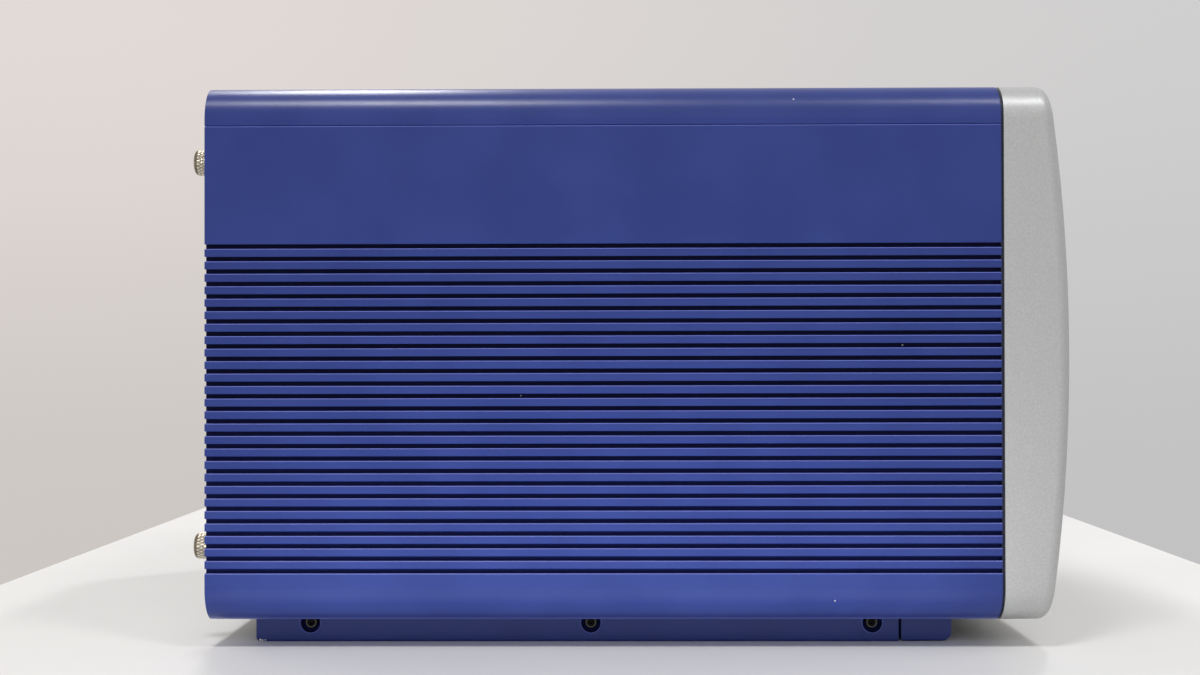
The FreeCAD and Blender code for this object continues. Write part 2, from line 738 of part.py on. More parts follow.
def mains_switch():
    """Rocker: a drum with a shallow V face, at rest with its upper half pressed in."""
    pivot_y = cover_outer + INLET_FLANGE_T - SWITCH_PIVOT_DEPTH
    level = inlet_z + SWITCH_RISE
    half_x = SWITCH_W / 2
    rise = SWITCH_R * math.tan(math.radians(SWITCH_TILT))
    rocker = rod_x(pivot_y, level, 2 * SWITCH_R, inlet_x - half_x, inlet_x + half_x)
    waste = outline_face([
        vec(inlet_x - half_x, pivot_y + SWITCH_PIVOT_DEPTH, level),
        vec(inlet_x - half_x, pivot_y + SWITCH_PIVOT_DEPTH + rise, level + SWITCH_R),
        vec(inlet_x - half_x, pivot_y + 2 * SWITCH_R, level + SWITCH_R),
        vec(inlet_x - half_x, pivot_y + 2 * SWITCH_R, level - SWITCH_R),
        vec(inlet_x - half_x, pivot_y + SWITCH_PIVOT_DEPTH + rise, level - SWITCH_R),
    ]).extrude(vec(SWITCH_W, 0, 0))
    rocker = rocker.cut(waste)
    rocker.rotate(vec(inlet_x, pivot_y, level), vec(1, 0, 0), SWITCH_TILT)
    return rocker


def data_port():
    """Shielded data socket: square cavity with the notch for the plug's latch."""
    face = cover_outer + PORT_LAP
    half_x = PORT_W / 2
    half_z = PORT_H / 2
    port = box(port_x - half_x, port_x + half_x, face - PORT_DEPTH, face, port_z - half_z, port_z + half_z)
    half_x = PORT_CAVITY_W / 2
    half_z = PORT_CAVITY_H / 2
    port = port.cut(box(
        port_x - half_x, port_x + half_x, face - PORT_CAVITY_D, face, port_z - half_z, port_z + half_z,
    ))
    return port.cut(box(
        port_x - PORT_NOTCH_W / 2, port_x + PORT_NOTCH_W / 2, face - PORT_CAVITY_D, face,
        port_z - half_z - PORT_NOTCH_H, port_z - half_z,
    ))


def earth_socket():
    """Turned brass socket for an earth lead's round plug."""
    face = cover_outer + EARTH_FLANGE_T
    return turned_y(EARTH_X, earth_z, [
        (0, cover_outer - EARTH_BODY_L),
        (EARTH_BODY_D / 2, cover_outer - EARTH_BODY_L),
        (EARTH_BODY_D / 2, cover_outer),
        (EARTH_FLANGE_D / 2, cover_outer),
        (EARTH_FLANGE_D / 2, face),
        (EARTH_BORE_D / 2, face),
        (EARTH_BORE_D / 2, face - EARTH_BORE_DEPTH),
        (0, face - EARTH_BORE_DEPTH),
    ])


def cage_plate(side):
    """Side plate of the card cage, flat against the inner face of the side panel."""
    half_z = panel_half_h + CAGE_PLATE_MARGIN
    end = backplane_front + BACKPLANE_T
    plate = box(-plate_outer, -half_cage, cage_front, end, mid_z - half_z, mid_z + half_z)
    return on_side(plate, side)


def cage_rail(y0, level, slot_from_front):
    """Extruded cross rail with the screw channel along its middle."""
    half_rail = CAGE_RAIL_H / 2
    rail = box(-half_cage, half_cage, y0, y0 + CAGE_RAIL_D, level - half_rail, level + half_rail)
    slot_start = y0 if slot_from_front else y0 + CAGE_RAIL_D - CAGE_RAIL_SLOT_D
    half_slot = CAGE_RAIL_SLOT_H / 2
    slot_end = slot_start + CAGE_RAIL_SLOT_D
    return rail.cut(box(-half_cage, half_cage, slot_start, slot_end, level - half_slot, level + half_slot))


def slot_left(units):
    """X of a slot's left edge, counted in panel units from the left end of the cage."""
    return (units - cage_units / 2) * UNIT_W


def board_x(units):
    return slot_left(units) + BOARD_OFFSET


def card_guides(starts):
    """Moulded guides between the cross rails, one above and one below each board."""
    guides = []
    groove_half = BOARD_T / 2 + GUIDE_CLEARANCE
    groove_floor = BOARD_H / 2 + GUIDE_CLEARANCE
    groove_mouth = groove_floor - GUIDE_LIP
    start = cage_front + GUIDE_END_CLEARANCE
    end = backplane_front - GUIDE_END_CLEARANCE
    for units in starts:
        centre = board_x(units) + BOARD_T / 2
        for turn in (1, -1):
            levels = sorted((mid_z + turn * groove_mouth, mid_z + turn * rail_inner_z))
            guide = box(centre - GUIDE_W / 2, centre + GUIDE_W / 2, start, end, levels[0], levels[1])
            levels = sorted((mid_z + turn * groove_mouth, mid_z + turn * groove_floor))
            groove = box(centre - groove_half, centre + groove_half, start, end, levels[0], levels[1])
            guides.append(guide.cut(groove))
    return group(guides)


def connector_block(units, y0):
    """Connector body on the face of a board, near its upper edge."""
    x = board_x(units) + BOARD_T
    low = mid_z + BOARD_H / 2 - CONNECTOR_DROP - CONNECTOR_H
    return box(x, x + CONNECTOR_W, y0, y0 + CONNECTOR_D, low, low + CONNECTOR_H)


def backplane():
    """Board across the back of the card cage, with a connector for each slot."""
    reach = half_cage - BACKPLANE_SIDE_CLEARANCE
    height = rail_line + CAGE_RAIL_H / 2
    board = box(
        -reach, reach, backplane_front, backplane_front + BACKPLANE_T, mid_z - height, mid_z + height,
    )
    for units in range(0, cage_units, SINGLE_UNITS):
        board = board.fuse(connector_block(units, backplane_front - CONNECTOR_D))
    return board.removeSplitter()


def power_supply():
    """Enclosed supply on feet that lie on the pan."""
    start = backplane_front + BACKPLANE_T + SUPPLY_FRONT_GAP
    end = cover_inner - SUPPLY_REAR_GAP
    half = SUPPLY_W / 2
    supply = box(-half, half, start, end, pan_top, pan_top + SUPPLY_H)
    foot = half + SUPPLY_FOOT_W
    return supply.fuse(box(-foot, foot, start, end, pan_top, pan_top + SUPPLY_FOOT_T)).removeSplitter()


def panel_edges(units, width_units):
    left = slot_left(units) + PANEL_GAP / 2
    return left, left + width_units * UNIT_W - PANEL_GAP


def socket_places(units, width_units):
    """Socket centres, in one column for each single width of the module."""
    columns = width_units // SINGLE_UNITS
    lowest = mid_z - handle_z + SOCKET_HANDLE_GAP
    places = []
    for column in range(columns):
        x = slot_left(units) + (column + 0.5) * SINGLE_UNITS * UNIT_W
        for row in range(SOCKET_ROWS):
            places.append((x, lowest + row * SOCKET_SPACING))
    return places


def module_panel(units, width_units):
    left, right = panel_edges(units, width_units)
    return box(left, right, panel_front, cage_front, mid_z - panel_half_h, mid_z + panel_half_h)


def module_board(units, width_units):
    """Circuit board with its two shield cans and its rear connector; a wide module has deeper cans."""
    x = board_x(units)
    half_z = BOARD_H / 2
    board = box(x, x + BOARD_T, cage_front, board_rear, mid_z - half_z, mid_z + half_z)
    face = x + BOARD_T
    can_t = CAN_T if width_units == SINGLE_UNITS else WIDE_CAN_T
    start = cage_front + CAN_SETBACK
    for low in (mid_z + CAN_RISE, mid_z - CAN_RISE - can_h):
        board = board.fuse(box(face, face + can_t, start, start + CAN_L, low, low + can_h))
    return board.fuse(connector_block(units, board_rear - CONNECTOR_D)).removeSplitter()


def module_sockets(units, width_units):
    """Coaxial sockets that stand on the panel: hexagonal body nut and round barrel."""
    nut_face = panel_front - SOCKET_NUT_T
    sockets = []
    for centre_x, centre_z in socket_places(units, width_units):
        def place(x, z):
            return vec(centre_x + x, nut_face, centre_z + z)

        nut = hexagon(SOCKET_NUT_AF, place).extrude(vec(0, SOCKET_NUT_T, 0))
        sockets.append(nut.fuse(rod_y(centre_x, centre_z, SOCKET_D, panel_front - SOCKET_L, nut_face)))
    return group(sockets)


def module_handles(units, width_units):
    """Two solid grips on the panel, waisted behind a chamfered nose."""
    centre = slot_left(units) + width_units * UNIT_W / 2
    nose = panel_front - HANDLE_REACH
    half = HANDLE_H / 2
    handles = []
    for level in (mid_z - handle_z, mid_z + handle_z):
        upper = [
            (panel_front, half),
            ((panel_front + nose) / 2, half - HANDLE_WAIST),
            (nose + HANDLE_NOSE_CHAMFER, half),
            (nose, half - HANDLE_NOSE_CHAMFER),
        ]
        lower = [(y, -z) for y, z in reversed(upper)]
        outline = [vec(centre - HANDLE_W / 2, y, level + z) for y, z in upper + lower]
        handles.append(outline_face(outline).extrude(vec(HANDLE_W, 0, 0)))
    return group(handles)


MODULES = {
    "module_1": (0, SINGLE_UNITS),
    "module_2": (SINGLE_UNITS, SINGLE_UNITS),
    "module_3": (2 * SINGLE_UNITS, double_units),
}
BLANK = (2 * SINGLE_UNITS + double_units, double_units)

os.makedirs("parts", exist_ok=True)

save("top_cover", top_cover())
save("base_pan", base_pan())
save("front_bezel", front_bezel())
save("bezel_gasket", bezel_gasket())
for name, side in SIDES.items():
    save("side_panel_" + name, side_panel(side))
    save("foot_rail_" + name, foot_rail(side))
    save("rail_bracket_" + name, rail_bracket(side))
    save("tilt_foot_" + name, tilt_foot(side))
    save("cage_plate_" + name, cage_plate(side))
    for level in thumb_levels:
        save("thumbscrew_" + level + "_" + name, thumbscrew(side, level))
save("foot_rail_screws", foot_rail_screws())
save("tilt_foot_pins", tilt_foot_pins())

save("rear_cover", rear_cover())
save("corner_blocks", corner_blocks())
save("fan_housing", fan_housing())
save("fan_rotor", fan_rotor())
save("mains_inlet", mains_inlet())
save("fuse_drawer", fuse_drawer())
save("mains_switch", mains_switch())
save("data_port", data_port())
save("earth_socket", earth_socket())

rear_rail_y = backplane_front - CAGE_RAIL_D
for name, level in (("upper", mid_z + rail_line), ("lower", mid_z - rail_line)):
    save("cage_rail_front_" + name, cage_rail(cage_front, level, True))
    save("cage_rail_rear_" + name, cage_rail(rear_rail_y, level, False))
save("card_guides", card_guides([units for units, width in MODULES.values()]))
save("backplane", backplane())
save("power_supply", power_supply())

for name, (units, width) in MODULES.items():
    save(name + "_panel", module_panel(units, width))
    save(name + "_board", module_board(units, width))
    save(name + "_sockets", module_sockets(units, width))
    save(name + "_handles", module_handles(units, width))
save("blank_panel", module_panel(*BLANK))
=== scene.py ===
import math

import bmesh
import bpy
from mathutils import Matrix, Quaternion, Vector


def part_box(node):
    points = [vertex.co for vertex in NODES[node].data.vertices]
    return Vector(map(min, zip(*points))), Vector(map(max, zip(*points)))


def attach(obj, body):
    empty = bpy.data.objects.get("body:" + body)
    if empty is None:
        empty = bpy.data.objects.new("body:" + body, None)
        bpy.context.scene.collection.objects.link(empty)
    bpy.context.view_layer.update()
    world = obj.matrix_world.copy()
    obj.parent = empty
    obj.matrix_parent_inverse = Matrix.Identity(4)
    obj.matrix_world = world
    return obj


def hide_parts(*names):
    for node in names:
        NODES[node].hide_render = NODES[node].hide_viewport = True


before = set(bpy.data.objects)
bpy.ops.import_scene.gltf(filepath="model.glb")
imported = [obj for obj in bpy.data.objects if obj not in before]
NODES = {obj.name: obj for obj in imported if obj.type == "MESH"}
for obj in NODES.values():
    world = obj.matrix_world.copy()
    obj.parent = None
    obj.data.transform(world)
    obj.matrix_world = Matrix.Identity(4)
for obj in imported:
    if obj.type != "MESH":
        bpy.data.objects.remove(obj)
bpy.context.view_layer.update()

# Camera: the photograph looks square on to the finned side from about a metre away, at mid height, with
# the front of the case at the right. Place, turn and lens were fitted to the edges of that side.
CAMERA_AT = Vector((-1.1887, 0.0046, 0.1709))
CAMERA_TURN = math.radians(0.61)
CAMERA_RISE = math.radians(0.49)
CAMERA_ROLL = math.radians(-0.11)
LENS_MM = 50.4

scene = bpy.context.scene
scene.view_settings.view_transform = "Standard"

lens = bpy.data.cameras.new("camera")
lens.lens = LENS_MM
camera = bpy.data.objects.new("camera", lens)
aim = Vector((math.cos(CAMERA_TURN), math.sin(CAMERA_TURN), math.tan(CAMERA_RISE)))
level_view = aim.to_track_quat("-Z", "Y")
camera.location = CAMERA_AT
camera.rotation_euler = (level_view @ Quaternion((0, 0, 1), CAMERA_ROLL)).to_euler()
scene.collection.objects.link(camera)
scene.camera = camera


# Lights: three ceiling lights that the coat mirrors as the bands along the upper corner, a small one
# behind that drops the shadow toward the camera, weak ones round the room, and the light that the table
# throws back at the foot of the case.
def soft_light(name, place, target, width, height, power, mirrored=False):
    """Rectangular light, turned to a target. Only a mirrored one shows in the glossy coats."""
    data = bpy.data.lights.new(name, "AREA")
    data.shape = "RECTANGLE"
    data.size = width
    data.size_y = height
    data.energy = power
    light = bpy.data.objects.new(name, data)
    light.location = place
    light.rotation_euler = (Vector(target) - Vector(place)).to_track_quat("-Z", "Y").to_euler()
    light.visible_camera = False
    light.visible_glossy = mirrored
    scene.collection.objects.link(light)


soft_light("ceiling_light_rear", (-1.15, 0.42, 2.3), (-1.15, 0.42, 0.0), 0.4, 0.5, 24.0, True)
soft_light("ceiling_light_front", (-1.15, -0.95, 2.3), (-1.15, -0.95, 0.0), 0.35, 0.7, 17.0, True)
soft_light("ceiling_light_behind", (1.35, 0.56, 2.3), (1.35, 0.56, 0.0), 1.4, 0.3, 23.0, True)
soft_light("main_light", (1.6, -1.1, 3.0), (0.0, -0.1, 0.1), 0.16, 0.16, 24.0)
soft_light("camera_side_light", (-3.2, -0.4, 1.6), (-0.2, 0.0, 0.1), 2.2, 1.6, 29.0)
soft_light("rear_side_light", (0.7, 1.8, 1.2), (0.0, 0.2, 0.15), 1.2, 1.0, 6.0)
soft_light("front_side_light", (0.2, -2.0, 1.0), (0.0, -0.2, 0.15), 1.2, 1.0, 10.0)
soft_light("table_bounce", (-0.33, 0.02, 0.002), (-0.33, 0.02, 1.0), 0.16, 0.46, 0.8)


# Backdrop: a plain pale cloth behind the table, a little warmer toward the rear end of the case. It is
# seen by the camera and in the glossy surfaces, and the rest of the light is that of a grey room.
class Shade:
    """A socket in a node tree, with arithmetic on it."""

    def __init__(self, tree, socket):
        self.tree = tree
        self.socket = socket

    def node(self, kind, settings, inputs, output=0):
        """Adds any node: its type, its settings, then its inputs."""
        made = self.tree.nodes.new(kind)
        for name, value in settings.items():
            setattr(made, name, value)
        for name, value in inputs.items():
            if isinstance(value, Shade):
                self.tree.links.new(value.socket, made.inputs[name])
            else:
                made.inputs[name].default_value = value
        return Shade(self.tree, made.outputs[output])

    def maths(self, operation, *values):
        """Adds a Math node."""
        inputs = dict(enumerate(values))
        return self.node("ShaderNodeMath", {"operation": operation}, inputs)

    def __add__(self, other):
        return self.maths("ADD", self, other)

    __radd__ = __add__

    def __sub__(self, other):
        return self.maths("SUBTRACT", self, other)

    def __rsub__(self, other):
        return self.maths("SUBTRACT", other, self)

    def __mul__(self, other):
        return self.maths("MULTIPLY", self, other)

    __rmul__ = __mul__

    def __pow__(self, other):
        return self.maths("POWER", self, other)

    def __abs__(self):
        return self.maths("ABSOLUTE", self)

    def larger(self, other):
        return self.maths("MAXIMUM", self, other)

    def smaller(self, other):
        return self.maths("MINIMUM", self, other)

    def ramp(self, low, high):
        """0 below low, 1 above high and smooth between, or reversed when high is the smaller."""
        first, last = sorted((low, high))
        steps = {"Value": self, "From Min": first, "From Max": last}
        if high < low:
            steps.update({"To Min": 1.0, "To Max": 0.0})
        return self.node("ShaderNodeMapRange", {"interpolation_type": "SMOOTHSTEP"}, steps)

    def mix(self, low_colour, high_colour):
        """Colour that goes from one to the other as this goes from 0 to 1."""
        inputs = {0: self, 6: low_colour, 7: high_colour}
        return self.node("ShaderNodeMix", {"data_type": "RGBA"}, inputs, 2)

    def noise(self, size, detail=2.0):
        """Noise from 0 to 1 over a place, with lumps of about the size given, in metres."""
        inputs = {"Vector": self, "Scale": 1.0 / size, "Detail": detail}
        return self.node("ShaderNodeTexNoise", {}, inputs)

    def bump(self, height):
        """Normal bent by a height in metres."""
        inputs = {"Height": height, "Distance": 1.0, "Strength": 1.0}
        return self.node("ShaderNodeBump", {}, inputs)

    def axes(self):
        """The x, y and z of a vector."""
        split = self.node("ShaderNodeSeparateXYZ", {}, {"Vector": self})
        return [Shade(self.tree, socket) for socket in split.socket.node.outputs]


def paint(hex_code):
    """Linear colour of a screen colour such as 30407F."""
    parts = []
    for start in (0, 2, 4):
        level = int(hex_code[start:start + 2], 16) / 255
        parts.append(level / 12.92 if level <= 0.04045 else ((level + 0.055) / 1.055) ** 2.4)
    return (*parts, 1.0)


world = bpy.data.worlds.new("studio")
world.use_nodes = True
scene.world = world
air = Shade(world.node_tree, None)
rays = air.node("ShaderNodeLightPath", {}, {}).socket.node.outputs
seen = Shade(world.node_tree, rays["Is Camera Ray"])
for kind in ("Is Glossy Ray", "Is Transmission Ray"):
    seen = seen.larger(Shade(world.node_tree, rays[kind]))
along, upward = air.node("ShaderNodeTexCoord", {}, {}, "Generated").axes()[1:]
to_rear = along.ramp(-0.35, 0.35)
low_cloth = to_rear.mix(paint("C2C2C3"), paint("CCC7C3"))
high_cloth = to_rear.mix(paint("D0CFCF"), paint("E2DAD6"))
cloth = upward.ramp(-0.12, 0.2).mix(low_cloth, high_cloth)
room = paint("A2A1A0")
backdrop = world.node_tree.nodes["Background"]
world.node_tree.links.new(seen.mix(room, cloth).socket, backdrop.inputs["Color"])
backdrop.inputs["Strength"].default_value = 1.0


# Table: a plain white laminated top under the case, which ends behind it and runs on past the camera.
# It is as matt as paper, and all it shows is the shadow of the case.
TABLE_NEAR = -3.0
TABLE_FAR = 0.77
TABLE_WIDTH = 0.92
TABLE_T = 0.03


class Finish:
    """A new material: where a point is, which way it faces, and its one surface shader."""

    def __init__(self, name):
        self.material = bpy.data.materials.new(name)
        self.material.use_nodes = True
        self.tree = self.material.node_tree
        self.surface = self.tree.nodes["Principled BSDF"]
        start = Shade(self.tree, None)
        self.place = start.node("ShaderNodeTexCoord", {}, {}, "Object")
        self.x, self.y, self.z = self.place.axes()
        facing = start.node("ShaderNodeNewGeometry", {}, {}, "Normal")
        self.out_x, self.out_y, self.out_z = facing.axes()
        self.tools = start

    def stretched(self, x, y, z):
        """The place with each axis scaled, for grain that runs one way."""
        inputs = {0: self.place, 1: (x, y, z)}
        return self.tools.node("ShaderNodeVectorMath", {"operation": "MULTIPLY"}, inputs)

    def cells(self, size):
        """Random level from 0 to 1, the same all over each cell of about the size given."""
        inputs = {"Vector": self.place, "Scale": 1 / size}
        colour = self.tools.node("ShaderNodeTexVoronoi", {}, inputs, "Color")
        return self.tools.node("ShaderNodeSeparateColor", {}, {"Color": colour})

    def set(self, **inputs):
        """Sets or links sockets of the shader, named with underlines for spaces."""
        for name, value in inputs.items():
            socket = self.surface.inputs[name.replace("_", " ").title().replace("Ior", "IOR")]
            if isinstance(value, Shade):
                self.tree.links.new(value.socket, socket)
            else:
                socket.default_value = value
        return self


def table_top():
    shape = bmesh.new()
    bmesh.ops.create_cube(shape, size=1.0)
    bmesh.ops.scale(shape, vec=(TABLE_FAR - TABLE_NEAR, TABLE_WIDTH, TABLE_T), verts=shape.verts)
    middle = ((TABLE_FAR + TABLE_NEAR) / 2, 0.0, -TABLE_T / 2)
    bmesh.ops.translate(shape, vec=middle, verts=shape.verts)
    mesh = bpy.data.meshes.new("table_top")
    shape.to_mesh(mesh)
    table = bpy.data.objects.new("table_top", mesh)
    scene.collection.objects.link(table)
    look = Finish("table_white")
    shade = look.place.noise(0.12).mix(paint("D4D3D2"), paint("DAD9D7"))
    look.set(base_color=shade, roughness=0.5)
    mesh.materials.append(look.material)


table_top()


# Case skin: two extruded aluminium sides, the folded top cover, and the foot rails with their fold-down
# front feet, all in one blue powder coat. It mirrors the ceiling lights as soft bands along the upper
# corner and has a few chips. Its colour also carries painted shade deep in the grooves, in the rails'
# counterbores and along the edge where the rails rest, a painted highlight on the upward bevels of the
# fins and round the counterbores' rims, and a painted reflection of the table along the lower roll.
MM = 0.001
HALF_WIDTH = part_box("side_panel_right")[1].x
SHELL_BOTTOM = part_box("side_panel_right")[0].z
GROOVES_LOW = 43.9 * MM
GROOVES_HIGH = 233.2 * MM
GROOVE_FLOOR = 4.0 * MM
CHIPS_MM = (
    (-159.0, 174.5, 0.55),
    (-119.5, 28.0, 0.40),
    (-96.8, 316.2, 0.45),
    (60.5, 145.8, 0.35),
)
RAIL_CHIPS_MM = ((216.6, 0.9, 0.7), (215.3, 0.6, 0.6), (213.6, 0.8, 0.5))
COUNTERBORE_R = 5.75 * MM
COUNTERBORE_DEPTH = 6.5 * MM
CAP_HEAD_R = 3.5 * MM
RAIL_SCREW_Z = 10.9 * MM
RAIL_SCREWS_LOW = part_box("foot_rail_screws")[0].y + CAP_HEAD_R
RAIL_SCREWS_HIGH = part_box("foot_rail_screws")[1].y - CAP_HEAD_R
RAIL_SCREWS_Y = (RAIL_SCREWS_LOW, (RAIL_SCREWS_LOW + RAIL_SCREWS_HIGH) / 2, RAIL_SCREWS_HIGH)


def dress(finish, *names):
    """Gives a material to CAD nodes."""
    for name in names:
        mesh = NODES[name].data
        mesh.materials.clear()
        mesh.materials.append(finish.material)


def chip_mask(look, y_mm, z_mm, radius_mm):
    """1 inside a small ragged spot on the side that the camera sees, and 0 round it."""
    distance = ((look.y - y_mm * MM) ** 2 + (look.z - z_mm * MM) ** 2) ** 0.5
    ragged = distance + (look.place.noise(0.5 * MM) - 0.5) * (0.6 * radius_mm * MM)
    return ragged.ramp(radius_mm * MM, 0.7 * radius_mm * MM) * look.x.ramp(0.0, -0.01)


def groove_shade_and_highlights(look):
    """Two masks of a side panel: painted shade deep in the grooves, and a painted highlight on the
    upward bevels with a painted reflection of the table along the lower roll.
    """
    reach = abs(look.x)
    floor = HALF_WIDTH - GROOVE_FLOOR
    # Painted shade: the floors and walls deep in the grooves.
    groove_shade = reach.ramp(HALF_WIDTH - 0.3 * MM, HALF_WIDTH - 2.2 * MM)
    groove_shade = groove_shade * reach.ramp(floor - 0.5 * MM, floor - 0.2 * MM)
    groove_shade = groove_shade * abs(look.out_y).ramp(0.8, 0.5)
    groove_shade = groove_shade * look.z.ramp(GROOVES_LOW - 1 * MM, GROOVES_LOW)
    groove_shade = groove_shade * look.z.ramp(GROOVES_HIGH + 1 * MM, GROOVES_HIGH)
    outermost = reach.ramp(HALF_WIDTH - 0.9 * MM, HALF_WIDTH - 0.6 * MM)
    # Painted highlight: the upward-facing bevels at the outer edges of the fins are coloured pale.
    bevel = (look.out_z * 0.65 + abs(look.out_z) * 0.35).ramp(0.1, 0.6)
    painted_highlight = bevel * outermost * look.z.ramp(GROOVES_LOW - 2 * MM, GROOVES_LOW - 1 * MM)
    # Painted reflection of the table: a pale band along the lower roll of the side.
    painted_table_reflection = look.z.ramp(SHELL_BOTTOM + 2.6 * MM, SHELL_BOTTOM + 0.8 * MM)
    return groove_shade, painted_highlight.larger(painted_table_reflection)


def counterbore_shade_and_glint(look):
    """Two masks of a foot rail: painted shade in its counterbores and along the edge it stands on, and a
    painted glint round the counterbores' rims.
    """
    nearest = Shade(look.tree, None)
    for y in RAIL_SCREWS_Y:
        distance = ((look.y - y) ** 2 + (look.z - RAIL_SCREW_Z) ** 2) ** 0.5
        nearest = distance if nearest.socket is None else nearest.smaller(distance)
    # Painted shade inside the counterbores.
    inside = nearest.ramp(COUNTERBORE_R + 0.15 * MM, COUNTERBORE_R + 0.05 * MM)
    # Painted glint: a pale ring round the rim of each counterbore.
    edge = nearest.ramp(COUNTERBORE_R + 0.8 * MM, COUNTERBORE_R + 0.3 * MM) * 0.5
    # Painted contact shadow along the bottom edge, where the rail meets the table.
    contact_shade = look.z.ramp(1.3 * MM, 0.7 * MM)
    return inside.larger(contact_shade), edge


def blue_coat(name, chips, masks=None):
    """The coat of one group of pieces, with its chips, its painted shade and its painted highlights."""
    look = Finish(name)
    colour = look.place.noise(45 * MM).ramp(0.3, 0.7).mix(paint("1F2F6E"), paint("243474"))
    if masks:
        # Painted shade goes in near-black navy, a little lighter low down where light thrown back by the
        # table would reach, and painted highlights and reflections go in pale blue.
        painted_shade, painted_highlight = masks(look)
        shadow = look.z.ramp(80 * MM, 160 * MM).mix(paint("141C55"), paint("0A0F3C"))
        colour = painted_shade.mix(painted_highlight.mix(colour, paint("5D67B2")), shadow)
    bare = chip_mask(look, *chips[0])
    for chip in chips[1:]:
        bare = bare.larger(chip_mask(look, *chip))
    colour = bare.mix(colour, paint("D8D6D2"))
    peel = look.place.noise(0.8 * MM, 3.0) * (0.010 * MM) + look.place.noise(5 * MM) * (0.004 * MM)
    rough = look.place.noise(20 * MM) * 0.05 + 0.28 + bare * 0.4
    if masks:
        rough = rough + painted_shade * 0.6
    look.set(base_color=colour, roughness=rough, normal=look.tools.bump(peel - bare * (0.06 * MM)))
    return look.set(specular_ior_level=0.36)


dress(blue_coat("blue_coat_sides", CHIPS_MM, groove_shade_and_highlights), "side_panel_left", "side_panel_right")
dress(blue_coat("blue_coat_cover", CHIPS_MM), "top_cover")
dress(
    blue_coat("blue_coat_rails", RAIL_CHIPS_MM, counterbore_shade_and_glint),
    "foot_rail_left", "foot_rail_right", "tilt_foot_left", "tilt_foot_right",
)


# Front bezel and its gasket: a cast frame with a bowed front, sprayed with a silver paint whose fine
# metal flakes sparkle, pressed against a dark rubber strip that fills the joint with the case. The
# strip's near-black navy is partly the rubber's own colour and partly painted shade of the narrow joint.
FLAKE = 0.55 * MM


def bezel_finish():
    look = Finish("silver_paint")
    flake = look.cells(FLAKE)
    bright = flake * 0.5 + look.place.noise(0.6 * MM, 3.0) * 0.5
    colour = bright.ramp(0.0, 1.0).mix(paint("A1A2A2"), paint("B4B5B5"))
    rough = look.place.noise(30 * MM) * 0.06 + 0.38
    height = flake * (0.001 * MM) + look.place.noise(1.2 * MM) * (0.004 * MM)
    return look.set(base_color=colour, metallic=0.35, roughness=rough, normal=look.tools.bump(height))


def gasket_finish():
    look = Finish("dark_rubber")
    # Near-black navy: partly the rubber's colour, partly painted shade of the narrow joint.
    colour = look.place.noise(3 * MM).mix(paint("0C1024"), paint("161B33"))
    grain = look.place.noise(0.5 * MM) * (0.02 * MM)
    return look.set(base_color=colour, roughness=0.6, normal=look.tools.bump(grain))


dress(bezel_finish(), "front_bezel")
dress(gasket_finish(), "bezel_gasket")


# Foot rail screws: blackened socket head cap screws, three to a rail, whose heads lie at the bottom of
# counterbores painted dark as shade. A painted highlight on the flat outer face of each head shows as a
# grey ring.
CAP_EDGE_CHAMFER = 0.35 * MM
CAP_RING_IN = 2.5 * MM
CAP_COUNTERSINK = 0.45 * MM
CAP_SOCKET_AF = 3.0 * MM
CAP_SOCKET_DEPTH = 2.0 * MM
CAP_SOCKET_POINT = 0.9 * MM
CAP_FACE_BAND = 0.3 * MM
SMOOTH_BELOW = math.radians(35)


def piece(name, shape, finish, body, replaced=(), place=(0, 0, 0)):
    """Turns a bmesh into a named piece that rides on a body, and may stand for CAD nodes."""
    bmesh.ops.recalc_face_normals(shape, faces=shape.faces)
    mesh = bpy.data.meshes.new(name)
    shape.to_mesh(mesh)
    shape.free()
    mesh.materials.append(finish.material)
    mesh.shade_smooth()
    mesh.set_sharp_from_angle(angle=SMOOTH_BELOW)
    thing = bpy.data.objects.new(name, mesh)
    thing.location = place
    scene.collection.objects.link(thing)
    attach(thing, body)
    if replaced:
        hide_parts(*replaced)


def lathe(shape, centre, along, profile, steps=48):
    """Adds a form round an axis from pairs of a distance along it and a radius, which may be a
    function of the angle."""
    along = Vector(along).normalized()
    side = along.orthogonal().normalized()
    up = along.cross(side)
    rings = []
    for distance, radius in profile:
        middle = Vector(centre) + along * distance
        if radius == 0:
            rings.append([shape.verts.new(middle)])
            continue
        ring = []
        for step in range(steps):
            turn = 2 * math.pi * step / steps
            reach = radius(turn) if callable(radius) else radius
            ring.append(shape.verts.new(middle + (side * math.cos(turn) + up * math.sin(turn)) * reach))
        rings.append(ring)
    for first, second in zip(rings, rings[1:]):
        for step in range(steps):
            corners = [first[step % len(first)], first[(step + 1) % len(first)]]
            corners += [second[(step + 1) % len(second)], second[step % len(second)]]
            shape.faces.new(list(dict.fromkeys(corners)))
    return shape


def hexagonal(across_flats):
    """Radius of a hexagon as a function of the angle."""
    def radius(turn):
        return across_flats / 2 / math.cos((turn + math.pi / 6) % (math.pi / 3) - math.pi / 6)

    return radius


